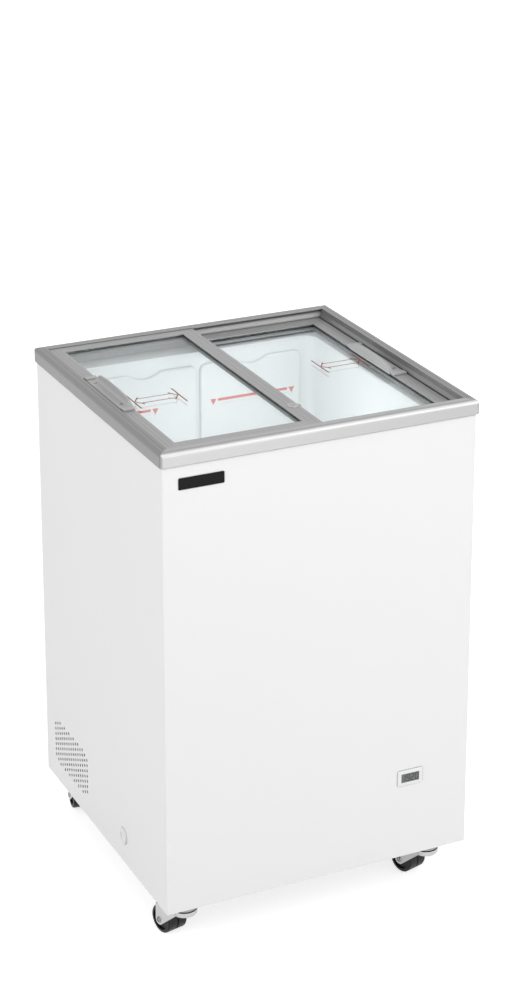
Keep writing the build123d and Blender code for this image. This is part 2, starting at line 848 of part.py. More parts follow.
def track_rail_corners():
    """Section of the front and back rails, which hold the two lid tracks."""
    upper_floor = slot_lip + slot_height
    lower_floor = lower_slot_lip + slot_height
    tracks = [(ledge_width, slot_lip, 0), (upper_slot_bottom, slot_lip, 0),
              (upper_slot_bottom, upper_floor, 0), (ledge_width, upper_floor, 0),
              (ledge_width, cove_start, cove_radius), (well_wall, cove_depth, cove_radius),
              (well_wall, lower_slot_lip, 0), (lower_slot_bottom, lower_slot_lip, 0),
              (lower_slot_bottom, lower_floor, 0), (well_wall, lower_floor, 0)]
    return nose() + tracks + frame_foot(well_wall)


def left_rail_corners():
    """Section of the left rail, with a plain inner wall beside the upper lid."""
    step = upper_lid_drop + lid_thickness + track_clearance
    wall = [(ledge_width, step, 0), (well_wall, step + side_wall_draft, 0)]
    return nose() + wall + frame_foot(well_wall)


def right_rail_corners():
    """Section of the right rail, with a cove down to the lower lid."""
    cove = [(ledge_width + right_cove_lean, right_cove_start, right_cove_radius),
            (right_well_wall, right_cove_depth, right_cove_foot_radius)]
    return nose() + cove + frame_foot(right_well_wall)


def frame_rails():
    """Four rails, mitred at the corners, with the outer corners rounded."""
    reach = right_well_wall + mitre_reach
    w, d = half_width, half_depth
    iw, idp = w - reach, d - reach
    plan_round = along_z(RectangleRounded(2 * w, 2 * d, frame_corner_radius), well_bottom - 1, frame_top + 1)
    sections = {}
    for side, corners in (("front", track_rail_corners()), ("back", track_rail_corners()),
                          ("left", left_rail_corners()), ("right", right_rail_corners())):
        if side in ("front", "back"):
            sign = -1 if side == "front" else 1
            face = outline(*[(sign * (d - u), frame_top - t, r) for u, t, r in corners])
            bar = along_x(face, -w, w)
            plan = [(-w, sign * d, 0), (w, sign * d, 0), (iw, sign * idp, 0), (-iw, sign * idp, 0)]
        else:
            sign = -1 if side == "left" else 1
            face = outline(*[(sign * (w - u), frame_top - t, r) for u, t, r in corners])
            bar = along_y(face, -d, d)
            plan = [(sign * w, -d, 0), (sign * w, d, 0), (sign * iw, idp, 0), (sign * iw, -idp, 0)]
        bar &= along_z(outline(*plan), well_bottom - 1, frame_top + 1)
        sections[side] = bar & plan_round
    return sections


# Lids


def rail_top(u0, u1):
    """Top edge of a lid rail with two fine grooves, as (u, drop, radius) corners."""
    corners = [(u0, 0, rail_edge_round)]
    for share in (1, 2):
        at = u0 + (u1 - u0) * share / 3
        corners += [(at - rail_groove_width / 2, 0, 0), (at, rail_groove_depth, 0),
                    (at + rail_groove_width / 2, 0, 0)]
    return corners + [(u1, 0, 0)]


def channel(u1):
    """The channel that grips the glass, on the inner side of a rail, as (u, drop, radius) corners."""
    low = glass_drop + glass_thickness + 2 * glass_gap
    return [(u1, glass_drop, 0), (u1 - channel_depth, glass_drop, 0), (u1 - channel_depth, low, 0),
            (u1, low, 0), (u1, lid_thickness, 0)]


def end_rail_corners(shoulder, inner, tip, body):
    """Section of a lid's front or back rail, with the tongue that runs in the track."""
    under = tongue_gap_above + slot_lip - upper_lid_drop + tongue_thickness
    over = under - tongue_thickness
    return rail_top(shoulder, inner) + channel(inner) + [
        (body, lid_thickness, 0), (body, under, 0), (tip, under, 0), (tip, over, 0), (shoulder, over, 0)]


def side_rail_corners(u0, u1):
    """Section of a lid's outer or inner rail."""
    return rail_top(u0, u1) + channel(u1) + [(u0, lid_thickness, 0)]


class LidSizes:
    """Where one lid's rails lie. X runs from the outer rail (x_outer) towards the other lid (x_inner)."""

    def __init__(self, x_outer, x_inner, outer_width, inner_width, top, shoulder, opening, tip, body):
        self.x_outer = x_outer
        self.x_inner = x_inner
        self.sign = 1 if x_inner > x_outer else -1
        self.outer_width = outer_width
        self.inner_width = inner_width
        self.top = top
        self.shoulder = shoulder
        self.opening = opening
        self.tip = tip
        self.body = body


def lid_end_rail(lid, side):
    """A lid's front (side -1) or back (side 1) rail."""
    corners = end_rail_corners(lid.shoulder, lid.opening, lid.tip, lid.body)
    face = outline(*[(side * (half_depth - u), lid.top - drop, r) for u, drop, r in corners])
    low_x, high_x = sorted((lid.x_outer, lid.x_inner))
    bar = along_x(face, low_x, high_x)
    far, near, inner = (side * (half_depth - u) for u in (lid.tip - 1, lid.shoulder, lid.opening))
    plan = [(lid.x_outer, far, 0), (lid.x_inner, far, 0), (lid.x_inner, near, 0),
            (lid.x_inner - lid.sign * lid.inner_width, inner, 0),
            (lid.x_outer + lid.sign * lid.outer_width, inner, 0), (lid.x_outer, near, 0)]
    return bar & along_z(outline(*plan), lid.top - lid_thickness - 1, lid.top + 1)


def lid_side_rail(lid, at_outer):
    """A lid's outer rail, or the rail beside the other lid."""
    sign = lid.sign if at_outer else -lid.sign
    edge = lid.x_outer if at_outer else lid.x_inner
    width = lid.outer_width if at_outer else lid.inner_width
    corners = side_rail_corners(0, width)
    face = outline(*[(edge + sign * u, lid.top - drop, r) for u, drop, r in corners])
    near, inner = half_depth - lid.shoulder, half_depth - lid.opening
    bar = along_y(face, -near, near)
    inside = edge + sign * width
    plan = [(edge, -near, 0), (inside, -inner, 0), (inside, inner, 0), (edge, near, 0)]
    rail = bar & along_z(outline(*plan), lid.top - lid_thickness - 1, lid.top + 1)
    under = tongue_gap_above + slot_lip - upper_lid_drop + tongue_thickness
    body = half_depth - lid.body
    for y0, y1 in ((-near - 1, -body), (body, near + 1)):
        rail -= slab(edge - width - 1, edge + width + 1, y0, y1, lid.top - lid_thickness - 1, lid.top - under)
    return rail


def lid_glass(lid):
    """Tempered pane held in the rails."""
    outer = lid.x_outer + lid.sign * (lid.outer_width - glass_bite)
    inner = lid.x_inner - lid.sign * (lid.inner_width - glass_bite)
    x0, x1 = sorted((outer, inner))
    y = half_depth - lid.opening + glass_bite
    top = lid.top - glass_drop - glass_gap
    return slab(x0, x1, -y, y, top - glass_thickness, top)


def handle_screw_places(lid):
    """X and Y of the two screws of a lid's handle."""
    x = lid.x_outer + lid.sign * handle_screw_inset
    return [(x, handle_centre_y + s * handle_screw_offset) for s in (-1, 1)]


def lid_handle(lid):
    """Grip moulding screwed on the outer rail: a base, two end blocks and a leaning lip with an arched top."""
    i = lid.outer_width
    top, base = handle_lip_height, handle_base_thickness
    lean = handle_lip_lean
    thick = handle_lip_thickness
    foot = glass_gap - lip_foot_drop
    section = [(handle_edge_setback, 0, 0), (i + glass_gap, 0, 0), (i + glass_gap, foot, 0),
               (i + handle_overlap, foot, 0), (i + handle_overlap, base, handle_foot_round),
               (i + handle_overlap - lean, top, handle_tip_round),
               (i + handle_overlap - lean - thick, top, handle_tip_round),
               (i + handle_overlap - lean - thick, top / 2, handle_back_radius),
               (i - handle_foot_inset, base, handle_base_radius),
               (handle_edge_setback, base, handle_base_edge_round)]
    face = outline(*[(lid.x_outer + lid.sign * s, lid.top + z, r) for s, z, r in section])
    half = handle_lip_length / 2
    lip = along_y(face, handle_centre_y - half, handle_centre_y + half)
    run = half - handle_slope_run
    low = -glass_drop - glass_thickness
    side_view = make_face(Wire([
        Line((-half, base), (-half, low)), Line((-half, low), (half, low)), Line((half, low), (half, base)),
        Line((half, base), (run, handle_lip_shoulder)),
        ThreePointArc((run, handle_lip_shoulder), (0, top), (-run, handle_lip_shoulder)),
        Line((-run, handle_lip_shoulder), (-half, base))]))
    low_x, high_x = sorted((lid.x_outer, lid.x_outer + lid.sign * (i + handle_overlap + 1)))
    lip &= along_x(Location((handle_centre_y, lid.top)) * side_view, low_x, high_x)
    handle = lip
    for s in (-1, 1):
        y0, y1 = sorted((handle_centre_y + s * half, handle_centre_y + s * handle_length / 2))
        x0, x1 = sorted((lid.x_outer + lid.sign * handle_edge_setback, lid.x_outer + lid.sign * i))
        block = slab(x0, x1, y0, y1, lid.top, lid.top + handle_block_height)
        block = fillet(block.faces().sort_by(Axis.Z)[-1].edges(), handle_block_round)
        handle += block
    for px, py in handle_screw_places(lid):
        handle -= rod_z(px, py, screw_shank_radius + screw_clearance, lid.top - 1, lid.top + base + 1)
    return handle


def handle_screws(lid):
    """The two screws of a lid's handle."""
    seat = lid.top + handle_base_thickness
    screws = Part()
    for px, py in handle_screw_places(lid):
        head = rod_z(px, py, screw_head_radius, seat, seat + screw_head_height)
        head = fillet(head.edges().sort_by(Axis.Z)[-1], screw_head_round)
        screws += head + rod_z(px, py, screw_shank_radius, seat - screw_length, seat)
    return screws


def drilled_outer_rail(lid):
    """Outer rail with the pilot holes of the handle's screws."""
    depth = screw_length - handle_base_thickness + 1
    holes = [rod_z(px, py, screw_shank_radius + screw_clearance / 2, lid.top - depth, lid.top + 1)
             for px, py in handle_screw_places(lid)]
    return lid_side_rail(lid, True) - holes


# Lock, keeper and seal


def centre_bar(lid):
    """Inner rail of the upper lid, with a swell and a hole for the lock."""
    low = lid.top - lid_thickness
    bar = lid_side_rail(lid, False)
    bar += rod_z(lock_x + lock_boss_shift, lock_y, lock_boss_radius, low, lid.top - rail_edge_round)
    return bar - rod_z(lock_x, lock_y, lock_barrel_radius + lock_fit, low - 1, lid.top + 1)


def lock_barrel(lid):
    """Fixed body of the lock."""
    low = lid.top - lid_thickness
    barrel = rod_z(lock_x, lock_y, lock_barrel_radius, low, lid.top)
    flange = rod_z(lock_x, lock_y, lock_flange_radius, lid.top, lid.top + lock_flange_height)
    barrel += fillet(flange.edges().sort_by(Axis.Z)[-1], lock_flange_round)
    return barrel - rod_z(lock_x, lock_y, lock_plug_radius + lock_fit, low - 1, lid.top + lock_flange_height + 1)


def lock_plug(lid):
    """Turning plug with a keyway and a square tail for the cam."""
    low = lid.top - lid_thickness
    face = lid.top + lock_flange_height
    tail = low - cam_drop - cam_thickness
    plug = rod_z(lock_x, lock_y, lock_plug_radius, low, face)
    half = lock_tail_size / 2
    plug += slab(lock_x - half, lock_x + half, lock_y - half, lock_y + half, tail, low + 1)
    keyway = slab(lock_x - keyway_length / 2, lock_x + keyway_length / 2, lock_y - keyway_width / 2,
                  lock_y + keyway_width / 2, face - keyway_depth, face + 1)
    return plug - keyway


def lock_cam(lid):
    """Flat cam under the bar. It points to the left when the lock is open."""
    top = lid.top - lid_thickness - cam_drop
    low_y, high_y = lock_y - cam_width / 2, lock_y + cam_width / 2
    arm = outline((lock_x, low_y, 0), (lock_x, high_y, 0), (lock_x - cam_length, high_y, cam_end_round),
                  (lock_x - cam_length, low_y, cam_end_round))
    cam = along_z(arm, top - cam_thickness, top)
    cam += rod_z(lock_x, lock_y, cam_hub_radius, top - cam_thickness, top)
    half = lock_tail_size / 2 + lock_fit
    low = top - cam_thickness - 1
    return cam - slab(lock_x - half, lock_x + half, lock_y - half, lock_y + half, low, top + 1)


def lock_keeper():
    """Stop on the lower lid that the turned cam stands against."""
    x0 = lock_x + cam_width / 2 + keeper_gap
    y0 = lock_y + cam_width / 2 + keeper_gap
    keeper = slab(x0, x0 + keeper_width, y0, y0 + keeper_length, lower_lid_top, lower_lid_top + keeper_height)
    return fillet(upright_edges(keeper), keeper_corner_round)


def gap_seal(lid):
    """Two wiper strips under the right edge of the centre bar, which leave room for the lock."""
    x0 = lid.x_inner - seal_inset - seal_width
    low = lid.top - lid_thickness - seal_height
    reach = half_depth - lid.opening
    strips = Part()
    for y0, y1 in ((-reach, lock_y - seal_break), (lock_y + seal_break, reach)):
        strips += slab(x0, x0 + seal_width, y0, y1, low, lid.top - lid_thickness)
    return strips


# Front trim


def badge_plate():
    """Bare name plate on the front."""
    middle = frame_underside - badge_centre_below_frame
    front = -cabinet_half_depth - badge_thickness
    plate = slab(badge_left, badge_left + badge_width, front, -cabinet_half_depth,
                 middle - badge_height / 2, middle + badge_height / 2)
    return fillet(plate.edges().filter_by(Axis.Y), badge_corner_radius)


def thermometer_bezel():
    """White case of the thermometer, with its body through the front sheet and a recess for the window."""
    front = -cabinet_half_depth - bezel_thickness
    x = thermometer_left + thermometer_width / 2
    z = thermometer_centre_z
    bezel = slab(x - thermometer_width / 2, x + thermometer_width / 2, front, -cabinet_half_depth,
                 z - thermometer_height / 2, z + thermometer_height / 2)
    bezel = fillet(bezel.edges().filter_by(Axis.Y), bezel_corner_radius)
    bezel = chamfer(bezel.faces().sort_by(Axis.Y)[0].edges(), bezel_edge_chamfer)
    bezel += slab(x - thermometer_body_width / 2, x + thermometer_body_width / 2, -cabinet_half_depth,
                  -cabinet_half_depth + thermometer_body_depth, z - thermometer_body_height / 2,
                  z + thermometer_body_height / 2)
    return bezel - slab(x - window_width / 2, x + window_width / 2, front - 1, front + window_depth,
                        z - window_height / 2, z + window_height / 2)


def thermometer_window():
    """Dark display window, set just below the face of the case."""
    front = -cabinet_half_depth - bezel_thickness
    x = thermometer_left + thermometer_width / 2
    z = thermometer_centre_z
    half_w = window_width / 2 - screw_clearance
    half_h = window_height / 2 - screw_clearance
    back = front + window_depth
    return slab(x - half_w, x + half_w, front + window_set_back, back, z - half_h, z + half_h)


# Castors, drawn with the swivel axis on Z and the wheel along +X


def castor_stems():
    """Threaded stems of the four castors, each with its upper and lower race and its riveted swivel pin."""
    stems = Part()
    low = crown_underside - pin_head_height
    race_low = castor_height - race_height
    for x, y in castor_centres().values():
        race = rod_z(x, y, race_radius, race_low, castor_height)
        race = fillet(race.edges().sort_by(Axis.Z)[0], race_edge_round)
        race += rod_z(x, y, lower_race_radius, crown_underside + crown_sheet + lower_race_gap, race_low + 1)
        pin = rod_z(x, y, stem_radius, low, base_top + stem_rise)
        head = rod_z(x, y, pin_head_radius, low, crown_underside - running_gap)
        stems += race + pin + head
    return stems


def castor_nuts():
    """Hexagon nuts that hold the castor stems on the base."""
    nuts = Part()
    nut_face = RegularPolygon(nut_radius, 6) - Circle(stem_radius + running_gap)
    for x, y in castor_centres().values():
        nuts += Location((x, y, 0)) * along_z(nut_face, base_top, base_top + nut_height)
    return nuts


def fork():
    """Pressed fork: a round crown dish, a web over the wheel and two legs that slope down to the axle."""
    top = crown_underside + crown_sheet
    width = fork_half_gap + fork_sheet
    end = castor_trail + fork_end_radius
    dish = rod_z(0, 0, crown_radius, crown_underside, crown_underside + crown_rim_height)
    dish = fillet(dish.edges().sort_by(Axis.Z)[0], crown_edge_round)
    hollow = rod_z(0, 0, crown_radius - fork_sheet, top, top + crown_rim_height)
    hollow = fillet(hollow.edges().sort_by(Axis.Z)[0], crown_edge_round - fork_sheet)
    leg_face = outline((fork_root, crown_underside + fork_root_rise, 0),
                       (castor_trail - fork_slope_end, wheel_radius - fork_end_radius, fork_end_radius),
                       (end, wheel_radius - fork_end_radius, fork_tip_radius),
                       (end, top, fork_corner_round), (crown_radius + fork_shoulder_at, top, fork_end_radius),
                       (fork_shoulder_at, crown_underside + fork_shoulder_rise, fork_corner_round),
                       (fork_root, crown_underside + fork_shoulder_rise, 0))
    body = dish + slab(0, end, -width, width, crown_underside, top)
    for side in (-1, 1):
        y0, y1 = sorted((side * fork_half_gap, side * width))
        body += along_y(leg_face, y0, y1)
    body -= hollow
    body -= rod_z(0, 0, stem_radius + running_gap, crown_underside - 1, top + 1)
    return body - rod_y(castor_trail, wheel_radius, axle_radius, -width - 1, width + 1)


def axle():
    """Tubular rivet through the fork's legs, with a ring groove in each head."""
    width = fork_half_gap + fork_sheet
    pin = rod_y(castor_trail, wheel_radius, axle_radius, -width, width)
    for side in (-1, 1):
        y0, y1 = sorted((side * width, side * (width + axle_head_height)))
        head = rod_y(castor_trail, wheel_radius, axle_head_radius, y0, y1)
        outer = head.edges().sort_by(Axis.Y)[0 if side < 0 else -1]
        head = fillet(outer, axle_head_round)
        face = side * (width + axle_head_height)
        y0, y1 = sorted((face - side * axle_ring_depth, face + side))
        ring = rod_y(castor_trail, wheel_radius, axle_ring_outer_radius, y0, y1)
        pin += head - (ring - rod_y(castor_trail, wheel_radius, axle_ring_inner_radius, y0, y1))
    return pin


def wheel():
    """Moulded wheel with two treads parted by a groove, and a hub in each face."""
    half = wheel_width / 2
    r = wheel_radius
    body = rod_y(castor_trail, r, r, -half, half)
    body = fillet(body.edges(), wheel_edge_round)
    for y0, y1 in ((-half - 1, -half + wheel_face_recess), (half - wheel_face_recess, half + 1)):
        hub = rod_y(castor_trail, r, wheel_hub_radius, y0, y1)
        body -= rod_y(castor_trail, r, r - wheel_rim, y0, y1) - hub
    groove = rod_y(castor_trail, r, r + 1, -wheel_groove_width / 2, wheel_groove_width / 2)
    groove -= rod_y(castor_trail, r, r - wheel_groove_depth, -wheel_groove_width, wheel_groove_width)
    body -= groove
    return body - rod_y(castor_trail, r, axle_radius + running_gap, -half - 1, half + 1)


def save_castors():
    """The fork, axle and wheel of each castor, turned to the way they stand."""
    pieces = {"fork": fork(), "axle": axle(), "wheel": wheel()}
    for corner, (x, y) in castor_centres().items():
        place = Location((x, y, 0), (0, 0, castor_angles[corner]))
        for name, shape in pieces.items():
            save(place * shape, name + "_" + corner)


# Thermostat and gland


def thermostat():
    """Thermostat body behind the grille, with its spindle through it."""
    inner = grille_outside - grille_sheet
    x, z = control_x, thermostat_z
    body = slab(x - thermostat_body_width / 2, x + thermostat_body_width / 2,
                inner - thermostat_body_depth, inner,
                z - thermostat_body_height / 2, z + thermostat_body_height / 2)
    body = fillet(body.edges().filter_by(Axis.Y), thermostat_corner_round)
    reach = grille_outside + spindle_reach
    return body + rod_y(x, z, spindle_radius, inner - 1, reach)


def thermostat_knob():
    """Control knob on the spindle, with a raised grip."""
    x, z = control_x, thermostat_z
    low = grille_outside + knob_gap
    disc = rod_y(x, z, knob_radius, low, low + knob_disc_thickness)
    disc = fillet(disc.edges().sort_by(Axis.Y)[-1], knob_edge_round)
    reach = knob_radius - knob_grip_inset
    grip = slab(x - knob_grip_width / 2, x + knob_grip_width / 2, low, low + knob_thickness,
                z - reach, z + reach)
    knob = disc + fillet(grip.faces().sort_by(Axis.Y)[-1].edges(), knob_edge_round)
    bore_end = grille_outside + spindle_reach + base_flange_gap
    return knob - rod_y(x, z, spindle_radius + running_gap, low - 1, bore_end)


def cord_gland():
    """Open gland for the mains cord in the back grille."""
    inner = grille_outside - grille_sheet
    x, z = control_x, gland_z
    back = inner - (gland_length - grille_sheet - gland_flange_thickness)
    gland = rod_y(x, z, gland_neck_radius, back, grille_outside)
    gland += rod_y(x, z, gland_flange_radius, grille_outside, grille_outside + gland_flange_thickness)
    return gland - rod_y(x, z, gland_bore_radius, back - 1, grille_outside + gland_flange_thickness + 1)


# Every piece is written to its own file

os.makedirs("parts", exist_ok=True)

upper_lid = LidSizes(
    x_outer=upper_lid_left, x_inner=upper_bar_right, outer_width=rail_width, inner_width=bar_width,
    top=upper_lid_top, shoulder=ledge_width + lid_side_gap, opening=ledge_width + rail_width,
    tip=upper_slot_bottom + tongue_reach_gap, body=well_wall + track_clearance)
lower_lid = LidSizes(
    x_outer=lower_lid_right, x_inner=lower_lid_left, outer_width=lower_rail_width,
    inner_width=lower_inner_rail_width, top=lower_lid_top, shoulder=well_wall + lid_side_gap,
    opening=well_wall + lower_lid_end_rail, tip=lower_slot_bottom + tongue_reach_gap,
    body=well_wall + track_clearance)

save(outer_wrap(), "outer_wrap")
save(back_panel(), "back_panel")
save(base_pan(), "base_pan")
save(compartment_panel(), "compartment_panel")
save(rear_grille(), "rear_grille")
save(grille_screws(), "grille_screws")
save(tank_liner(), "tank_liner")

evaporator = pipe(*evaporator_points(), suction_radius)
condenser = pipe(*condenser_points(), liquid_radius)
save(evaporator, "evaporator_coil")
save(condenser, "condenser_coil")
save(foam_insulation(evaporator, condenser), "foam_insulation")
save(filter_drier(), "filter_drier")
save(capillary_tube(), "capillary_tube")
save(compressor(), "compressor")
save(compressor_grommets(), "compressor_grommets")
save(relay_box(), "relay_box")

save(drain_tube(), "drain_tube")
save(drain_plug(), "drain_plug")

for side, rail in frame_rails().items():
    save(rail, "frame_" + side + "_rail")

for name, lid in (("upper", upper_lid), ("lower", lower_lid)):
    save(lid_end_rail(lid, -1), name + "_lid_front_rail")
    save(lid_end_rail(lid, 1), name + "_lid_back_rail")
    save(drilled_outer_rail(lid), name + "_lid_outer_rail")
    save(lid_glass(lid), name + "_lid_glass")
    save(lid_handle(lid), name + "_lid_handle")
    save(handle_screws(lid), name + "_handle_screws")
save(centre_bar(upper_lid), "upper_lid_centre_bar")
save(lid_side_rail(lower_lid, False), "lower_lid_inner_rail")
save(gap_seal(upper_lid), "lid_gap_seal")
save(lock_barrel(upper_lid), "lock_barrel")
save(lock_plug(upper_lid), "lock_plug")
save(lock_cam(upper_lid), "lock_cam")
save(lock_keeper(), "lock_keeper")

save(badge_plate(), "badge_plate")
save(thermometer_bezel(), "thermometer_bezel")
save(thermometer_window(), "thermometer_window")

save(castor_stems(), "castor_stems")
save(castor_nuts(), "castor_nuts")
save_castors()

save(thermostat(), "thermostat")
save(thermostat_knob(), "thermostat_knob")
save(cord_gland(), "cord_gland")
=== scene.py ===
"""Ice cream freezer: finishes, printed marks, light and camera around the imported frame."""

import logging
import math
from dataclasses import dataclass, field, replace
from enum import Enum
from typing import Any, Iterable, Optional, Sequence, Union

import bmesh
import bpy
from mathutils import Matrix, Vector


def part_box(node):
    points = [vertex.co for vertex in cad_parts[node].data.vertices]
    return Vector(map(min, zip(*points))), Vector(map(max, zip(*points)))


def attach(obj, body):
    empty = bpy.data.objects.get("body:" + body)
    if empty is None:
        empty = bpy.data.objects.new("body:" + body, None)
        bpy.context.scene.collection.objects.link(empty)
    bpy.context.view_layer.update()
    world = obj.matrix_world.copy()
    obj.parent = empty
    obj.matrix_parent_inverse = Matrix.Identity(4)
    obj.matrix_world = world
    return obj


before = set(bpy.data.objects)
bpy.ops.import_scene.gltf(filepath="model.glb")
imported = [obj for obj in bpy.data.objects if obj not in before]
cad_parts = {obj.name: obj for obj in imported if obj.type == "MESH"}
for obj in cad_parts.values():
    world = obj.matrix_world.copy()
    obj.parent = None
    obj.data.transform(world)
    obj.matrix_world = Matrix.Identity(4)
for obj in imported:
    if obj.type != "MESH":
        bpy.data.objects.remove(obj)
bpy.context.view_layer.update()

LOG = logging.getLogger("freezer")

RGB = tuple[float, float, float]
XYZ = tuple[float, float, float]
Band = tuple[float, float]

EVEN: XYZ = (1.0, 1.0, 1.0)
WHITE = (1.0, 1.0, 1.0, 1.0)
NOISE_MEAN = 0.5
# How many samples the occlusion behind the painted shade takes.
PAINTED_SHADE_SAMPLES = 8
MIX_LOW, MIX_HIGH, MIX_RESULT = 6, 7, 2
WELD_DISTANCE = 1e-7


# Shader maths


class Signal:
    """A shader socket that is added, scaled and compared like a number."""

    def __init__(self, tree: "ShaderTree", socket: bpy.types.NodeSocket) -> None:
        """Wraps a socket of a tree."""
        self.tree = tree
        self.socket = socket

    def __add__(self, other: "Level") -> "Signal":
        """Adds a number or a signal."""
        return self.tree.maths("ADD", self, other)

    def __sub__(self, other: "Level") -> "Signal":
        """Takes a number or a signal away."""
        return self.tree.maths("SUBTRACT", self, other)

    def __rsub__(self, other: "Level") -> "Signal":
        """Takes the signal from a number."""
        return self.tree.maths("SUBTRACT", other, self)

    def __mul__(self, other: "Level") -> "Signal":
        """Scales by a number or a signal."""
        return self.tree.maths("MULTIPLY", self, other)

    def most(self, other: "Level") -> "Signal":
        """Gives the larger of two values."""
        return self.tree.maths("MAXIMUM", self, other)

    def ramp(self, low: float, high: float) -> "Signal":
        """Turns a span of values into a soft mask.

        Args:
            low: The value that gives 0.
            high: The value that gives 1.

        Returns:
            The mask, from 0 to 1.
        """
        made = self.tree.node("ShaderNodeMapRange", {"Value": self, "From Min": low, "From Max": high},
                              {"interpolation_type": "SMOOTHSTEP"})
        return Signal(self.tree, made.outputs["Result"])


Level = Union[float, Signal]


class ShaderTree:
    """The node tree of a material or of the world, built from expressions."""

    def __init__(self, owner: Union[bpy.types.Material, bpy.types.World]) -> None:
        """Starts an empty tree.

        Args:
            owner: The material or the world that the tree belongs to.
        """
        self.owner = owner
        owner.use_nodes = True
        self.nodes, self.links = owner.node_tree.nodes, owner.node_tree.links
        self.nodes.clear()
        kind = "World" if isinstance(owner, bpy.types.World) else "Material"
        self.output = self.node("ShaderNodeOutput" + kind)

    def node(self, kind: str, inputs: Optional[dict[Any, Any]] = None,
             settings: Optional[dict[str, Any]] = None) -> bpy.types.Node:
        """Makes any node.

        Args:
            kind: The node's type.
            inputs: Values, signals or sockets by the input's name or number.
            settings: Attributes, which are set first.

        Returns:
            The node.
        """
        made = self.nodes.new(kind)
        for key, value in (settings or {}).items():
            setattr(made, key, value)
        for key, value in (inputs or {}).items():
            socket = value.socket if isinstance(value, Signal) else value
            if isinstance(socket, bpy.types.NodeSocket):
                self.links.new(socket, made.inputs[key])
            else:
                made.inputs[key].default_value = value
        return made

    def end(self, shader: bpy.types.Node) -> Union[bpy.types.Material, bpy.types.World]:
        """Ends the tree in a shader.

        Args:
            shader: The shader's node.

        Returns:
            The material or the world.
        """
        self.links.new(shader.outputs[0], self.output.inputs["Surface"])
        return self.owner

    def maths(self, operation: str, first: Level, second: Level) -> Signal:
        """Adds a Math node for two values."""
        made = self.node("ShaderNodeMath", {0: first, 1: second}, {"operation": operation})
        return Signal(self, made.outputs[0])

    def place(self, stretch: XYZ = EVEN) -> bpy.types.NodeSocket:
        """Object coordinates, stretched along the axes.

        Args:
            stretch: The factor along X, Y and Z.

        Returns:
            The coordinates.
        """
        where = self.node("ShaderNodeTexCoord").outputs["Object"]
        return self.node("ShaderNodeMapping", {"Vector": where, "Scale": stretch}).outputs["Vector"]

    def height(self) -> Signal:
        """Height above the floor in metres."""
        split = self.node("ShaderNodeSeparateXYZ", {"Vector": self.place()})
        return Signal(self, split.outputs["Z"])

    def noise(self, size: float, stretch: XYZ = EVEN, detail: float = 3.0, roughness: float = 0.55) -> Signal:
        """Soft noise whose spots are of a given size.

        Args:
            size: The spots' size in metres.
            stretch: The factor along X, Y and Z, below 1 where the spots are drawn out.
            detail: How many finer layers are added.
            roughness: How strong the finer layers are.

        Returns:
            The noise, about NOISE_MEAN on average.
        """
        made = self.node("ShaderNodeTexNoise", {"Vector": self.place(stretch), "Scale": 1.0 / size,
                                                "Detail": detail, "Roughness": roughness})
        return Signal(self, made.outputs["Fac"])

    def _cells(self, size: float) -> bpy.types.Node:
        """A cell pattern, with cells of a size in metres."""
        return self.node("ShaderNodeTexVoronoi", {"Vector": self.place(), "Scale": 1.0 / size})

    def cell_distance(self, size: float) -> Signal:
        """The distance to the nearest cell's point, for cells of a size in metres."""
        return Signal(self, self._cells(size).outputs["Distance"])

    def cell_tone(self, size: float) -> Signal:
        """A random tone for each cell, for cells of a size in metres."""
        split = self.node("ShaderNodeSeparateColor", {"Color": self._cells(size).outputs["Color"]})
        return Signal(self, split.outputs[0])

    def openness(self, reach: float) -> Signal:
        """How open a point is to its surroundings, which sets where shade is painted: 1 in the open and 0
        where neighbours close it in.

        Args:
            reach: How far away a neighbour still counts, in metres.

        Returns:
            The openness.
        """
        made = self.node("ShaderNodeAmbientOcclusion", {"Distance": reach}, {"samples": PAINTED_SHADE_SAMPLES})
        return Signal(self, made.outputs["AO"])

    def seen(self) -> Signal:
        """1 for camera, glossy and transmission rays, and 0 for the rest."""
        rays = self.node("ShaderNodeLightPath").outputs
        seen = Signal(self, rays["Is Camera Ray"])
        for kind in ("Is Glossy Ray", "Is Transmission Ray"):
            seen = seen.most(Signal(self, rays[kind]))
        return seen

    def mix(self, factor: Level, low: Any, high: Any) -> bpy.types.NodeSocket:
        """Mixes two colours.

        Args:
            factor: 0 gives low and 1 gives high.
            low: A colour or a colour socket.
            high: A colour or a colour socket.

        Returns:
            The mixed colour.
        """
        low, high = ((*c, 1.0) if isinstance(c, tuple) else c for c in (low, high))
        made = self.node("ShaderNodeMix", {0: factor, MIX_LOW: low, MIX_HIGH: high}, {"data_type": "RGBA"})
        return made.outputs[MIX_RESULT]

    def bump(self, height: Signal, depth: float) -> bpy.types.NodeSocket:
        """Turns a height into a bumped normal.

        Args:
            height: The height, from 0 to 1.
            depth: The depth that a height of 1 stands for, in metres.

        Returns:
            The normal.
        """
        return self.node("ShaderNodeBump", {"Height": height, "Distance": depth}).outputs["Normal"]


# Finishes


class Grain(Enum):
    """How a surface is worked."""

    MOULDED = "moulded"
    DRAWN_X = "drawn along x"
    DRAWN_Y = "drawn along y"
    PAINTED_SHEET = "painted sheet"
    ZINC = "zinc"
    CAST = "cast"
    MILLED = "milled"
    FOAM = "foam"


GRAIN_STRETCH: dict[Grain, XYZ] = {
    Grain.DRAWN_X: (0.02, 1.0, 1.0),
    Grain.DRAWN_Y: (1.0, 0.02, 1.0),
    Grain.MILLED: (1.0, 1.0, 0.06),
}


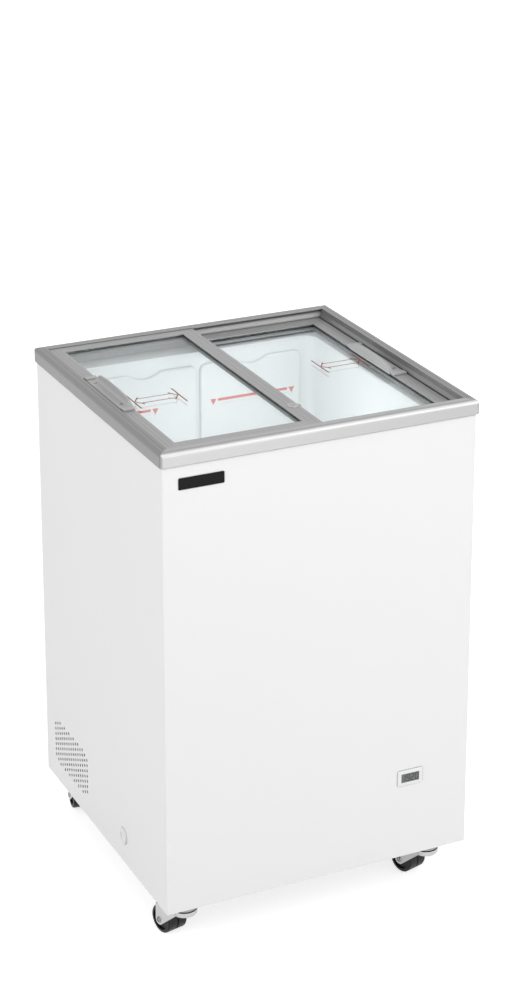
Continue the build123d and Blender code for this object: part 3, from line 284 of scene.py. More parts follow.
@dataclass(frozen=True)
class WearAndPaintedShade:
    """What all finishes share: how they drift, how scuffs and dust look, and where the shade painted into
    hollows starts.

    Sizes are in metres. A band holds the two levels of a noise between which its mask fades in, and a gloss
    is how far a mask changes the roughness.
    """

    drift_size: float = 0.18
    drift_gloss: float = 0.08
    grain_gloss: float = 0.06
    spangle_share: float = 0.6
    spangle_fineness: float = 0.3
    scuff_size: float = 0.003
    scuff_stretch: XYZ = (1.0, 1.0, 0.12)
    scuff_band: Band = (0.66, 0.74)
    scuff_patch_size: float = 0.09
    scuff_patch_band: Band = (0.5, 0.66)
    scuff_gain: float = 1.12
    scuff_lift: float = 0.03
    scuff_gloss: float = 0.12
    dust_colour: RGB = (0.36, 0.34, 0.31)
    dust_size: float = 0.012
    dust_band: Band = (0.42, 0.66)
    dust_gloss: float = 0.35
    # How closed a point must be before painted shade shows in it.
    painted_shade_start: float = 0.1


WEAR_AND_PAINTED_SHADE = WearAndPaintedShade()


@dataclass(frozen=True)
class Finish:
    """One finish of the freezer: its colour, gloss, grain, wear and the shade painted into its hollows.

    Attributes:
        name: The material's name.
        colour: The colour where the tone is low.
        shade: The colour where the tone is high.
        roughness: The mean roughness.
        grain: How the surface is worked.
        metallic: How metallic it is.
        grain_size: The grain's size in metres.
        relief: The grain's depth in metres.
        swing: How far the tone swings with the grain and the drift.
        specular: The level of its mirroring.
        painted_shade: How strongly the colour is darkened as painted shade where neighbours close a point in,
            from 0 to 1.
        painted_shade_reach: How far away a neighbour still adds painted shade, in metres.
        painted_shade_tone: The shade colour's factor where the painted shade is darkest.
        painted_shade_full: How closed a point is where the painted shade is darkest.
        scuffs: How strong scuffs are, from 0 to 1.
        dust: How strong dust is at the floor, from 0 to 1.
        dust_top: The height at which dust ends, in metres.
    """

    name: str
    colour: RGB
    shade: RGB
    roughness: float
    grain: Grain
    metallic: float = 0.0
    grain_size: float = 0.002
    relief: float = 0.0001
    swing: float = 0.08
    specular: float = 0.5
    painted_shade: float = 0.0
    painted_shade_reach: float = 0.004
    painted_shade_tone: float = 0.25
    painted_shade_full: float = 0.75
    scuffs: float = 0.0
    dust: float = 0.0
    dust_top: float = 0.05

    def material(self) -> bpy.types.Material:
        """Builds the material.

        Returns:
            The material.
        """
        tree = ShaderTree(bpy.data.materials.new(self.name))
        grain = self._grain(tree)
        drift = tree.noise(WEAR_AND_PAINTED_SHADE.drift_size, detail=2.0)
        grain_off, drift_off = grain - NOISE_MEAN, drift - NOISE_MEAN
        tone = drift_off * (2.0 * self.swing) + grain_off * self.swing + 0.5
        colour = tree.mix(tone, self.colour, self.shade)
        rough = drift_off * WEAR_AND_PAINTED_SHADE.drift_gloss + grain_off * WEAR_AND_PAINTED_SHADE.grain_gloss + self.roughness
        if self.scuffs:
            scuff = self._scuff(tree)
            lighter = tuple(min(1.0, c * WEAR_AND_PAINTED_SHADE.scuff_gain + WEAR_AND_PAINTED_SHADE.scuff_lift) for c in self.colour)
            colour = tree.mix(scuff, colour, lighter)
            rough = rough + scuff * WEAR_AND_PAINTED_SHADE.scuff_gloss
        if self.dust:
            film = self._dust(tree)
            colour = tree.mix(film, colour, WEAR_AND_PAINTED_SHADE.dust_colour)
            rough = rough + film * WEAR_AND_PAINTED_SHADE.dust_gloss
        # Painted shade: the colour darkens towards a dark copy of the shade colour where neighbours close a
        # point in, standing in for shade in hollows, seams and slots.
        if self.painted_shade:
            painted_shade_colour = tuple(c * self.painted_shade_tone for c in self.shade)
            colour = tree.mix(self._painted_shades(tree), colour, painted_shade_colour)
        return tree.end(tree.node("ShaderNodeBsdfPrincipled", {
            "Base Color": colour, "Roughness": rough, "Metallic": self.metallic,
            "Specular IOR Level": self.specular, "Normal": tree.bump(grain, self.relief)}))

    def _grain(self, tree: ShaderTree) -> Signal:
        """The grain's height pattern."""
        if self.grain in GRAIN_STRETCH:
            return tree.noise(self.grain_size, GRAIN_STRETCH[self.grain], detail=2.0)
        if self.grain is Grain.ZINC:
            spangles = tree.cell_tone(self.grain_size)
            fine = tree.noise(self.grain_size * WEAR_AND_PAINTED_SHADE.spangle_fineness)
            return spangles * WEAR_AND_PAINTED_SHADE.spangle_share + fine * (1.0 - WEAR_AND_PAINTED_SHADE.spangle_share)
        if self.grain is Grain.CAST:
            return tree.noise(self.grain_size, detail=6.0, roughness=0.7)
        if self.grain is Grain.FOAM:
            return tree.cell_distance(self.grain_size)
        return tree.noise(self.grain_size, detail=2.0, roughness=0.5)

    def _scuff(self, tree: ShaderTree) -> Signal:
        """Where fine upright lines are rubbed, in patches."""
        lines = tree.noise(WEAR_AND_PAINTED_SHADE.scuff_size, WEAR_AND_PAINTED_SHADE.scuff_stretch, detail=1.0).ramp(*WEAR_AND_PAINTED_SHADE.scuff_band)
        patches = tree.noise(WEAR_AND_PAINTED_SHADE.scuff_patch_size, detail=1.0).ramp(*WEAR_AND_PAINTED_SHADE.scuff_patch_band)
        return lines * patches * self.scuffs

    def _dust(self, tree: ShaderTree) -> Signal:
        """Where dust lies, more towards the floor."""
        low = 1.0 - tree.height().ramp(0.0, self.dust_top)
        return low * tree.noise(WEAR_AND_PAINTED_SHADE.dust_size, detail=5.0).ramp(*WEAR_AND_PAINTED_SHADE.dust_band) * self.dust

    def _painted_shades(self, tree: ShaderTree) -> Signal:
        """The mask of painted shade: where neighbouring surfaces close a point in."""
        closed = 1.0 - tree.openness(self.painted_shade_reach)
        return closed.ramp(WEAR_AND_PAINTED_SHADE.painted_shade_start, self.painted_shade_full) * self.painted_shade


@dataclass(frozen=True)
class LidGlass:
    """Tempered glass that lets daylight through and mirrors the sky a little.

    Attributes:
        name: The material's name.
        tint: The colour of what is seen through it.
        mirror_tint: The colour of what it mirrors.
        index: The index of refraction that sets how much it mirrors.
        mirror: The share of that mirroring that shows.
        roughness: The roughness where the film is thinnest.
        film_size: The size of the wiped film's spots, in metres.
        film_gloss: How far the film changes the roughness.
        film_band: The levels between which the film shows.
        film_share: How much the film mirrors.
    """

    name: str = "lid_glass"
    tint: RGB = (0.975, 0.99, 0.99)
    mirror_tint: RGB = (0.96, 0.98, 0.98)
    index: float = 1.45
    mirror: float = 0.3
    roughness: float = 0.01
    film_size: float = 0.09
    film_gloss: float = 0.03
    film_band: Band = (0.55, 0.95)
    film_share: float = 0.01

    def material(self) -> bpy.types.Material:
        """Builds the material.

        Returns:
            The material.
        """
        tree = ShaderTree(bpy.data.materials.new(self.name))
        film = tree.noise(self.film_size, detail=4.0)
        clear = tree.node("ShaderNodeBsdfTransparent", {"Color": (*self.tint, 1.0)})
        mirror = tree.node("ShaderNodeBsdfPrincipled", {
            "Base Color": (*self.mirror_tint, 1.0), "Metallic": 1.0,
            "Roughness": film * self.film_gloss + self.roughness})
        sheen = Signal(tree, tree.node("ShaderNodeFresnel", {"IOR": self.index}).outputs[0])
        share = sheen * self.mirror + film.ramp(*self.film_band) * self.film_share
        return tree.end(tree.node("ShaderNodeMixShader",
                                  {0: share, 1: clear.outputs[0], 2: mirror.outputs[0]}))


def grey(level: float) -> RGB:
    """A neutral colour."""
    return (level, level, level)


# Painted shade: the white sheet darkens almost to black in narrow hollows, such as the vent slots' walls.
WHITE_SHEET = Finish("white_sheet", grey(0.842), grey(0.832), 0.32, Grain.PAINTED_SHEET,
                     grain_size=0.0022, relief=0.00002, swing=0.1, painted_shade=1.0, painted_shade_reach=0.005,
                     painted_shade_tone=0.05, painted_shade_full=0.32)
# Painted light and shade: the front rail is a lighter grey and the side rails a darker grey, lit and shaded
# copies of one grey. All rails also get painted shade in their seams.
FRAME_LIT_ALONG_X = Finish("grey_frame_x_lit", grey(0.395), grey(0.355), 0.3, Grain.DRAWN_X,
                       metallic=0.55, grain_size=0.0012, relief=0.00001, swing=0.14, painted_shade=0.8)
FRAME_SHADED_ALONG_Y = replace(FRAME_LIT_ALONG_X, name="grey_frame_y_shaded", colour=grey(0.26), shade=grey(0.225),
                        grain=Grain.DRAWN_Y)
FRAME_BACK = replace(FRAME_LIT_ALONG_X, name="grey_frame_back", colour=grey(0.37), shade=grey(0.32),
                     roughness=0.5, metallic=0.2, specular=0.3)
LID_ALONG_X = replace(FRAME_LIT_ALONG_X, name="grey_lid_x", colour=grey(0.38), shade=grey(0.34),
                      roughness=0.38, metallic=0.35)
LID_ALONG_Y = replace(LID_ALONG_X, name="grey_lid_y", grain=Grain.DRAWN_Y)
# Painted shade in the handles' seams; the scuffs are real wear.
HANDLE_GREY = Finish("handle_grey", grey(0.45), grey(0.4), 0.4, Grain.MOULDED,
                     grain_size=0.0012, relief=0.00003, swing=0.15, scuffs=0.15, painted_shade=0.7)
# Painted shade along the liner's bay borders and under its scoops.
LINER_WHITE = Finish("liner_white", (0.855, 0.868, 0.872), (0.835, 0.855, 0.862), 0.34, Grain.MOULDED,
                     grain_size=0.003, relief=0.00002, swing=0.12, painted_shade=0.5, painted_shade_reach=0.02,
                     painted_shade_tone=0.6)
WHITE_PLASTIC = Finish("white_plastic", (0.84, 0.845, 0.85), (0.79, 0.795, 0.8), 0.35, Grain.MOULDED,
                       grain_size=0.0012, relief=0.00003, swing=0.1)
BLACK_GLOSS = Finish("black_gloss", (0.006, 0.006, 0.0065), (0.01, 0.01, 0.0105), 0.3, Grain.MOULDED,
                     grain_size=0.001, relief=0.00002, swing=0.2, specular=0.08)
BLACK_PLASTIC = Finish("black_plastic", (0.02, 0.02, 0.021), (0.045, 0.045, 0.047), 0.5, Grain.MOULDED,
                       grain_size=0.0012, relief=0.00006, swing=0.3)
DISPLAY_GREY = Finish("display_grey", (0.15, 0.15, 0.148), grey(0.12), 0.3, Grain.MOULDED,
                      grain_size=0.001, relief=0.00001, swing=0.1)
WHEEL_BLACK = Finish("wheel_black", grey(0.003), grey(0.009), 0.42, Grain.MOULDED,
                     grain_size=0.0015, relief=0.00004, swing=0.3, specular=0.28, dust=0.02, dust_top=0.006)
# Painted shade in the grooves and rings of the castor and axle steel.
RACE_STEEL = Finish("race_steel", (0.38, 0.38, 0.375), (0.28, 0.28, 0.275), 0.34, Grain.MILLED,
                    metallic=0.85, grain_size=0.001, relief=0.00002, swing=0.3, painted_shade=1.0,
                    painted_shade_reach=0.016, painted_shade_tone=0.1)
RIVET_STEEL = Finish("rivet_steel", (0.4, 0.4, 0.395), (0.3, 0.3, 0.295), 0.16, Grain.MILLED,
                     metallic=1.0, grain_size=0.001, relief=0.00002, swing=0.3, painted_shade=1.0,
                     painted_shade_reach=0.003, painted_shade_tone=0.04)
# Painted shade in the forks' seams; the scuffs are real wear.
ZINC_PLATED = Finish("zinc_plated", (0.56, 0.56, 0.555), (0.44, 0.44, 0.435), 0.3, Grain.CAST,
                     metallic=0.9, grain_size=0.004, relief=0.00003, swing=0.35, scuffs=0.4, painted_shade=0.9,
                     painted_shade_reach=0.003)
# Painted shade: the compartment panel is a near black grey that stands for the shade inside the closed
# machine compartment, seen through the vents. The dust towards the floor is real.
COMPARTMENT_PAINTED_SHADE = Finish("compartment_painted_shade", grey(0.09), grey(0.07), 0.6, Grain.CAST,
                          grain_size=0.002, relief=0.00003, swing=0.3, dust=0.2, dust_top=0.4)
# Painted shade with a long reach that darkens the base pan inside the closed compartment; the scuffs are real
# wear.
GALVANISED = Finish("galvanised", (0.62, 0.63, 0.64), (0.48, 0.49, 0.5), 0.42, Grain.ZINC,
                    metallic=0.85, grain_size=0.012, relief=0.00002, swing=0.4, scuffs=0.4, painted_shade=0.9,
                    painted_shade_reach=0.12, painted_shade_tone=0.12)
PLATED_STEEL = Finish("plated_steel", (0.7, 0.7, 0.69), (0.55, 0.55, 0.54), 0.22, Grain.MILLED,
                      metallic=0.95, grain_size=0.0008, relief=0.00002, swing=0.25)
LOCK_METAL = Finish("lock_metal", grey(0.5), grey(0.38), 0.3, Grain.CAST,
                    metallic=0.9, grain_size=0.0012, relief=0.00002, swing=0.3)
ALUMINIUM_PIPE = Finish("aluminium_pipe", (0.72, 0.73, 0.74), (0.6, 0.61, 0.62), 0.35, Grain.MILLED,
                        metallic=0.9, grain_size=0.001, relief=0.00002)
BLACK_PIPE = Finish("black_pipe", grey(0.025), grey(0.05), 0.5, Grain.CAST,
                    grain_size=0.001, relief=0.00003)
COPPER = Finish("copper", (0.78, 0.38, 0.24), (0.5, 0.24, 0.16), 0.3, Grain.MILLED,
                metallic=0.95, grain_size=0.003, relief=0.00002, swing=0.5)
FOAM = Finish("foam", (0.8, 0.7, 0.42), (0.68, 0.56, 0.3), 0.9, Grain.FOAM,
              grain_size=0.0025, relief=0.0006, swing=0.5)
COMPRESSOR_BLACK = Finish("compressor_black", (0.014, 0.014, 0.015), (0.035, 0.035, 0.036), 0.38, Grain.CAST,
                          metallic=0.2, grain_size=0.003, relief=0.00008, swing=0.3, dust=0.3, dust_top=0.3)
RUBBER = Finish("rubber", grey(0.02), grey(0.04), 0.75, Grain.MOULDED,
                grain_size=0.001, relief=0.00005, swing=0.3)
PRINT_BROWN = Finish("print_brown", (0.27, 0.05, 0.035), (0.22, 0.04, 0.03), 0.6, Grain.MOULDED,
                     grain_size=0.0006, relief=0.00001, swing=0.3)
PRINT_RED = Finish("print_red", (0.72, 0.02, 0.02), (0.62, 0.012, 0.012), 0.45, Grain.MOULDED,
                   grain_size=0.0008, relief=0.00001, swing=0.2)
SEGMENT_DARK = Finish("segment_dark", grey(0.04), grey(0.03), 0.4, Grain.MOULDED,
                      grain_size=0.0006, relief=0.00001, swing=0.1)

DRESSING: dict[Union[Finish, LidGlass], tuple[str, ...]] = {
    WHITE_SHEET: ("outer_wrap", "back_panel", "rear_grille"),
    GALVANISED: ("base_pan",),
    COMPARTMENT_PAINTED_SHADE: ("compartment_panel",),
    # The front rail wears the lit copy and the side rails the shaded copy of the frame's grey.
    FRAME_LIT_ALONG_X: ("frame_front_rail",),
    FRAME_BACK: ("frame_back_rail",),
    FRAME_SHADED_ALONG_Y: ("frame_left_rail", "frame_right_rail"),
    LID_ALONG_X: ("upper_lid_front_rail", "upper_lid_back_rail", "lower_lid_front_rail",
                  "lower_lid_back_rail"),
    LID_ALONG_Y: ("upper_lid_outer_rail", "upper_lid_centre_bar", "lower_lid_outer_rail",
                  "lower_lid_inner_rail", "lock_keeper"),
    HANDLE_GREY: ("upper_lid_handle", "lower_lid_handle"),
    LINER_WHITE: ("tank_liner",),
    WHITE_PLASTIC: ("drain_tube", "drain_plug", "thermometer_bezel", "thermostat_knob"),
    BLACK_GLOSS: ("badge_plate",),
    DISPLAY_GREY: ("thermometer_window",),
    BLACK_PLASTIC: ("relay_box", "thermostat", "cord_gland"),
    WHEEL_BLACK: ("wheel_fl", "wheel_fr", "wheel_rl", "wheel_rr"),
    ZINC_PLATED: ("fork_fl", "fork_fr", "fork_rl", "fork_rr"),
    RACE_STEEL: ("castor_stems",),
    RIVET_STEEL: ("axle_fl", "axle_fr", "axle_rl", "axle_rr", "upper_handle_screws", "lower_handle_screws"),
    PLATED_STEEL: ("grille_screws", "castor_nuts", "lock_cam"),
    LOCK_METAL: ("lock_barrel", "lock_plug"),
    ALUMINIUM_PIPE: ("evaporator_coil",),
    BLACK_PIPE: ("condenser_coil",),
    COPPER: ("filter_drier", "capillary_tube"),
    FOAM: ("foam_insulation",),
    COMPRESSOR_BLACK: ("compressor",),
    RUBBER: ("compressor_grommets", "lid_gap_seal"),
    LidGlass(): ("upper_lid_glass", "lower_lid_glass"),
}


@dataclass
class Wardrobe:
    """Makes each material once and puts it on pieces."""

    made: dict[str, bpy.types.Material] = field(default_factory=dict)

    def put(self, thing: bpy.types.Object, finish: Union[Finish, LidGlass]) -> None:
        """Dresses an object in one finish.

        Args:
            thing: A mesh object.
            finish: The finish.
        """
        if finish.name not in self.made:
            self.made[finish.name] = finish.material()
        thing.data.materials.clear()
        thing.data.materials.append(self.made[finish.name])

    def dress_nodes(self) -> None:
        """Dresses every node of the frame."""
        for finish, names in DRESSING.items():
            for name in names:
                self.put(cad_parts[name], finish)
                LOG.info("%s wears %s", name, finish.name)


# Meshes


def added(name: str, data: Any) -> bpy.types.Object:
    """Adds an object to the scene.

    Args:
        name: The object's name.
        data: Its mesh, lamp or camera.

    Returns:
        The object.
    """
    thing = bpy.data.objects.new(name, data)
    bpy.context.scene.collection.objects.link(thing)
    return thing


def mesh_from(work: bmesh.types.BMesh, name: str) -> bpy.types.Mesh:
    """Turns a bmesh into a mesh and frees it."""
    mesh = bpy.data.meshes.new(name)
    work.to_mesh(mesh)
    work.free()
    return mesh


def piece_from(work: bmesh.types.BMesh, name: str, body: str) -> bpy.types.Object:
    """Turns a bmesh into a piece that rides on a body.

    Args:
        work: The mesh, in metres in the part's frame. It is freed.
        name: The piece's name.
        body: The body it rides on.

    Returns:
        The piece.
    """
    bmesh.ops.remove_doubles(work, verts=work.verts, dist=WELD_DISTANCE)
    bmesh.ops.recalc_face_normals(work, faces=work.faces)
    thing = added(name, mesh_from(work, name))
    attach(thing, body)
    LOG.info("made %s on %s", name, body)
    return thing


UPWARDS = Vector((0, 0, 1))
FORWARDS = Vector((0, -1, 0))


def printed(work: bmesh.types.BMesh, patches: Sequence[Sequence[Sequence[float]]], up: Vector,
            thickness: float) -> None:
    """Adds one raised region of print.

    Args:
        work: The mesh to add to.
        patches: The corners of each of the region's faces, on the printed surface. Neighbours share theirs.
        up: The direction away from the surface.
        thickness: How far the print stands off the surface.
    """
    found: dict[tuple[float, ...], bmesh.types.BMVert] = {}
    faces = []
    for corners in patches:
        for corner in corners:
            if tuple(corner) not in found:
                found[tuple(corner)] = work.verts.new(Vector(corner))
        faces.append(work.faces.new([found[tuple(corner)] for corner in corners]))
    raised = bmesh.ops.extrude_face_region(work, geom=faces)
    moved = [v for v in raised["geom"] if isinstance(v, bmesh.types.BMVert)]
    bmesh.ops.translate(work, verts=moved, vec=up * thickness)


@dataclass(frozen=True)
class LidMarks:
    """The printed sliding symbol on one pane: two bars and a hollow double arrow between them.

    Attributes:
        lid: The body of the pane.
        left: The left bar's place along X.
        right: The right bar's place along X.
        middle: The symbol's place along Y.
        bar_length: The length of a bar.
        bar_width: The width of a bar.
        line_width: The width of the arrow's outline.
        head_length: The length of an arrowhead.
        head_half: Half the width of an arrowhead.
        shaft_half: Half the width of the shaft.
        thickness: How far the print stands off the pane.
    """

    lid: str
    left: float
    right: float
    middle: float
    bar_length: float = 0.068
    bar_width: float = 0.0025
    line_width: float = 0.0021
    head_length: float = 0.012
    head_half: float = 0.019
    shaft_half: float = 0.0115
    thickness: float = 0.00012

    def build(self, wardrobe: Wardrobe) -> None:
        """Prints the symbol on the pane's top.

        Args:
            wardrobe: Where finishes come from.
        """
        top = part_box(self.lid + "_glass")[1][2]
        work = bmesh.new()
        reach, half = self.bar_length / 2, self.bar_width / 2
        for x in (self.left, self.right):
            bar = ((x - half, self.middle - reach, top), (x + half, self.middle - reach, top),
                   (x + half, self.middle + reach, top), (x - half, self.middle + reach, top))
            printed(work, [bar], UPWARDS, self.thickness)
        printed(work, self._arrow(top), UPWARDS, self.thickness)
        wardrobe.put(piece_from(work, self.lid + "_marks", self.lid), PRINT_BROWN)

    def _arrow(self, top: float) -> list[tuple[XYZ, ...]]:
        """The faces of the arrow's outline, one for each of its edges."""
        start, end = self.left + self.bar_width / 2, self.right - self.bar_width / 2
        neck, collar = start + self.head_length, end - self.head_length
        head, shaft = self.head_half, self.shaft_half
        shape = [(start, 0.0), (neck, -head), (neck, -shaft), (collar, -shaft), (collar, -head),
                 (end, 0.0), (collar, head), (collar, shaft), (neck, shaft), (neck, head)]
        outer = [(x, self.middle + y, top) for x, y in shape]
        inner = [(x, self.middle + y, top) for x, y in inset(shape, self.line_width)]
        count = len(shape)
        return [(outer[i], outer[(i + 1) % count], inner[(i + 1) % count], inner[i]) for i in range(count)]


def inset(shape: Sequence[tuple[float, float]], width: float) -> list[tuple[float, float]]:
    """Moves each edge of a closed outline inwards.

    Args:
        shape: The corners, counter-clockwise.
        width: How far the edges move.

    Returns:
        The corners of the moved outline.
    """
    moved = []
    for number, corner in enumerate(shape):
        before = (Vector(corner) - Vector(shape[number - 1])).normalized()
        after = (Vector(shape[(number + 1) % len(shape)]) - Vector(corner)).normalized()
        left_before, left_after = Vector((-before.y, before.x)), Vector((-after.y, after.x))
        way = left_before + left_after
        place = Vector(corner) + way * (width / (1.0 + left_before.dot(left_after)))
        moved.append((place.x, place.y))
    return moved


@dataclass(frozen=True)
class LoadLine:
    """The red fill line on the two bays of the tank's back wall, with a triangle at each end.

    Attributes:
        height: The line's top above the floor.
        spans: The left and right end on each bay, triangles included.
        line_width: The line's height.
        triangle_width: The width of a triangle.
        triangle_height: The height of a triangle.
        gap: The space between a triangle and the line.
        wall: The wall's place along Y.
        thickness: How far the print stands off the wall.
    """

    height: float = 0.764
    spans: tuple[Band, ...] = ((-0.19, -0.0785), (0.0225, 0.19))
    line_width: float = 0.005
    triangle_width: float = 0.012
    triangle_height: float = 0.011
    gap: float = 0.003
    wall: float = 0.217
    thickness: float = 0.00012

    def build(self, wardrobe: Wardrobe) -> None:
        """Prints the line.

        Args:
            wardrobe: Where finishes come from.
        """
        work = bmesh.new()
        room = self.triangle_width + self.gap
        low = self.height - self.line_width
        for left, right in self.spans:
            self._patch(work, ((left + room, low), (right - room, low), (right - room, self.height),
                               (left + room, self.height)))
            for x in (left, right - self.triangle_width):
                tip = (x + self.triangle_width / 2, self.height - self.triangle_height)
                self._patch(work, ((x, self.height), tip, (x + self.triangle_width, self.height)))
        wardrobe.put(piece_from(work, "load_line", "cabinet"), PRINT_RED)

    def _patch(self, work: bmesh.types.BMesh, corners: Iterable[tuple[float, float]]) -> None:
        """Prints one patch on the wall."""
        printed(work, [[(x, self.wall, z) for x, z in corners]], FORWARDS, self.thickness)


class Segment(Enum):
    """The bars of a seven-segment figure.

    Each has its centre, in the figure's widths and heights, and whether it lies down.
    """

    TOP = (0.0, 1.0, True)
    UPPER_LEFT = (-0.5, 0.75, False)
    UPPER_RIGHT = (0.5, 0.75, False)
    MIDDLE = (0.0, 0.5, True)
    LOWER_LEFT = (-0.5, 0.25, False)
    LOWER_RIGHT = (0.5, 0.25, False)
    BOTTOM = (0.0, 0.0, True)


FIGURES: dict[str, tuple[Segment, ...]] = {
    "0": tuple(s for s in Segment if s is not Segment.MIDDLE),
    "1": (Segment.UPPER_RIGHT, Segment.LOWER_RIGHT),
    "2": (Segment.TOP, Segment.UPPER_RIGHT, Segment.MIDDLE, Segment.LOWER_LEFT, Segment.BOTTOM),
    "9": tuple(s for s in Segment if s is not Segment.LOWER_LEFT),
}


@dataclass(frozen=True)
class DisplayFigures:
    """The figures that the thermometer shows.

    Attributes:
        reading: The figures, from left to right.
        figure_width: The width between a figure's upright bars.
        figure_height: The height between its top and bottom bars.
        pitch: The distance from one figure to the next.
        bar: The width of a bar.
        cut: The share of its width that a bar is cut back by at each end.
        thickness: How far the figures stand off the window.
    """

    reading: str = "1920"
    figure_width: float = 0.0052
    figure_height: float = 0.0124
    pitch: float = 0.0084
    bar: float = 0.0017
    cut: float = 0.15
    thickness: float = 0.00008

    def build(self, wardrobe: Wardrobe) -> None:
        """Lays the figures on the window.

        Args:
            wardrobe: Where finishes come from.
        """
        low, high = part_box("thermometer_window")
        middle = (low[0] + high[0]) / 2
        base = (low[2] + high[2]) / 2 - self.figure_height / 2
        work = bmesh.new()
        for place, figure in enumerate(self.reading):
            x = middle + (place - (len(self.reading) - 1) / 2) * self.pitch
            for segment in FIGURES[figure]:
                self._bar(work, segment, x, base, low[1])
        wardrobe.put(piece_from(work, "display_figures", "cabinet"), SEGMENT_DARK)

    def _bar(self, work: bmesh.types.BMesh, segment: Segment, x: float, base: float, front: float) -> None:
        """Adds one pointed bar of a figure."""
        across, up, lying = segment.value
        cx, cz = x + across * self.figure_width, base + up * self.figure_height
        long = (self.figure_width if lying else self.figure_height / 2) / 2 - self.bar * self.cut
        half = self.bar / 2
        side = long - half
        shape = ((-long, 0.0), (-side, -half), (side, -half), (long, 0.0), (side, half), (-side, half))
        corners = [(cx + a, front, cz + b) if lying else (cx + b, front, cz + a) for a, b in shape]
        printed(work, [corners], FORWARDS, self.thickness)


# Stage


@dataclass(frozen=True)
class Lamp:
    """An oblong soft lamp that the camera doesn't see.

    Attributes:
        name: The lamp's name.
        place: Where it hangs, in metres.
        target: The point that it faces.
        size: Its width and height.
        power: Its power in watts.
        diffuse: Whether it lights matt surfaces.
        mirrored: Whether glossy surfaces show it.
    """

    name: str
    place: XYZ
    target: XYZ
    size: tuple[float, float]
    power: float
    diffuse: bool = True
    mirrored: bool = True

    def hang(self) -> None:
        """Adds the lamp to the scene."""
        data = bpy.data.lights.new(self.name, "AREA")
        data.shape = "RECTANGLE"
        data.size, data.size_y = self.size
        data.energy = self.power
        lamp = added(self.name, data)
        lamp.location = self.place
        ahead = Vector(self.target) - Vector(self.place)
        lamp.rotation_euler = ahead.to_track_quat("-Z", "Y").to_euler()
        lamp.visible_camera = False
        lamp.visible_diffuse = self.diffuse
        lamp.visible_glossy = self.mirrored


MIDDLE: XYZ = (0.0, 0.0, 0.5)
FRONT_RAIL: XYZ = (0.0, -0.28, 0.87)
LAMPS = (
    Lamp("key_lamp", (1.6, -2.6, 1.9), MIDDLE, (1.8, 1.8), 19.5),
    Lamp("left_lamp", (-3.0, -1.0, 1.8), MIDDLE, (1.8, 1.8), 26.0),
    Lamp("low_lamp", (0.3, -2.7, 0.4), MIDDLE, (1.4, 1.4), 14.0),
    Lamp("back_lamp", (2.6, 2.2, 1.3), MIDDLE, (1.8, 1.8), 20.0, mirrored=False),
    Lamp("nose_lamp", (0.83, -1.16, 2.06), FRONT_RAIL, (2.0, 1.5), 17.0, diffuse=False),
    Lamp("face_lamp", (0.6, -1.65, 0.85), FRONT_RAIL, (1.4, 1.4), 4.5, diffuse=False),
)


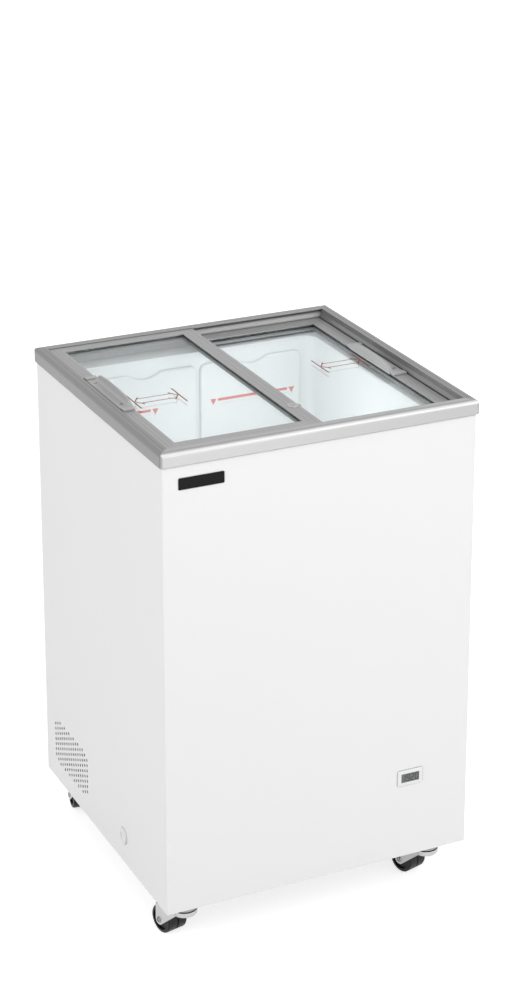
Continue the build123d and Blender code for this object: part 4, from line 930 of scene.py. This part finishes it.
@dataclass(frozen=True)
class Studio:
    """Pale floor, white surroundings, soft lamps and the camera.

    Attributes:
        camera_place: Where the camera stands, in metres.
        camera_yaw: How far it is turned from +Y to +X, in radians.
        camera_pitch: How far it looks down, in radians.
        focal_pixels: Its focal length, in pixels of the image's height.
        image_height: The image's height in pixels.
        sensor: The sensor's size in millimetres.
        shift_up: How far the lens is shifted, as a share of the image's height.
        clip_end: How far it sees, in metres.
        tank_lamp_place: Where the tank's lamp hangs.
        tank_lamp_radius: Its soft size.
        tank_lamp_power: Its power in watts.
        sky_for_surfaces: The sky's level of light on surfaces. What is seen of the sky itself is white.
        floor_size: The floor's width in metres.
        floor_cuts: How many cells it has along each side.
        floor_colours: The two tones of its mottle.
        floor_mottle: The size of its mottle in metres.
        floor_glow: How bright it is to the eye on its own.
    """

    camera_place: XYZ = (-1.6686, -3.5702, 2.2987)
    camera_yaw: float = 0.441
    camera_pitch: float = 0.306
    focal_pixels: float = 2464.0
    image_height: float = 1000.0
    sensor: float = 36.0
    shift_up: float = -0.22
    clip_end: float = 60.0
    tank_lamp_place: XYZ = (0.02, -0.05, 0.75)
    tank_lamp_radius: float = 0.08
    tank_lamp_power: float = 1.1
    sky_for_surfaces: float = 0.72
    floor_size: float = 40.0
    floor_cuts: int = 8
    floor_colours: tuple[RGB, RGB] = (grey(0.6), grey(0.62))
    floor_mottle: float = 0.4
    floor_glow: float = 0.72

    def build(self) -> None:
        """Builds the whole stage."""
        self._camera()
        self._world()
        self._floor()
        for lamp in LAMPS:
            lamp.hang()
        self._tank_lamp()
        bpy.context.scene.view_settings.view_transform = "Standard"

    def _camera(self) -> None:
        """Places the camera as the photograph was taken."""
        data = bpy.data.cameras.new("camera")
        data.sensor_width = self.sensor
        data.lens = self.focal_pixels / self.image_height * self.sensor
        data.shift_y = self.shift_up
        data.clip_end = self.clip_end
        camera = added("camera", data)
        level = math.cos(self.camera_pitch)
        ahead = Vector((math.sin(self.camera_yaw) * level, math.cos(self.camera_yaw) * level,
                        -math.sin(self.camera_pitch)))
        camera.location = self.camera_place
        camera.rotation_euler = ahead.to_track_quat("-Z", "Y").to_euler()
        bpy.context.scene.camera = camera

    def _world(self) -> None:
        """White behind the object and in its reflections, and a plain level of light on its surfaces."""
        world = bpy.data.worlds.new("surroundings")
        tree = ShaderTree(world)
        dim = tree.node("ShaderNodeBackground", {"Color": WHITE, "Strength": self.sky_for_surfaces})
        bright = tree.node("ShaderNodeBackground", {"Color": WHITE})
        tree.end(tree.node("ShaderNodeMixShader",
                           {0: tree.seen(), 1: dim.outputs[0], 2: bright.outputs[0]}))
        bpy.context.scene.world = world

    def _floor(self) -> None:
        """A pale floor that keeps a soft shadow."""
        work = bmesh.new()
        bmesh.ops.create_grid(work, x_segments=self.floor_cuts, y_segments=self.floor_cuts,
                              size=self.floor_size / 2)
        thing = added("floor", mesh_from(work, "floor"))
        tree = ShaderTree(bpy.data.materials.new("pale_floor"))
        pale = tree.mix(tree.noise(self.floor_mottle, detail=2.0), *self.floor_colours)
        matt = tree.node("ShaderNodeBsdfDiffuse", {"Color": pale})
        glow = tree.node("ShaderNodeEmission", {"Color": WHITE, "Strength": tree.seen() * self.floor_glow})
        both = tree.node("ShaderNodeAddShader", {0: matt.outputs[0], 1: glow.outputs[0]})
        thing.data.materials.append(tree.end(both))

    def _tank_lamp(self) -> None:
        """A faint soft lamp in the middle of the tank that lifts the walls under the glass."""
        data = bpy.data.lights.new("tank_lamp", "POINT")
        data.shadow_soft_size = self.tank_lamp_radius
        data.energy = self.tank_lamp_power
        lamp = added("tank_lamp", data)
        lamp.location = self.tank_lamp_place
        lamp.visible_camera = False
        lamp.visible_glossy = False


def main() -> None:
    """Dresses the frame, prints the marks and builds the stage, in this order."""
    logging.basicConfig(level=logging.INFO)
    wardrobe = Wardrobe()
    wardrobe.dress_nodes()
    LidMarks("lower_lid", left=0.1445, right=0.2235, middle=0.0235).build(wardrobe)
    LidMarks("upper_lid", left=-0.2295, right=-0.148, middle=-0.038).build(wardrobe)
    LoadLine().build(wardrobe)
    DisplayFigures().build(wardrobe)
    Studio().build()


if __name__ == "__main__":
    main()
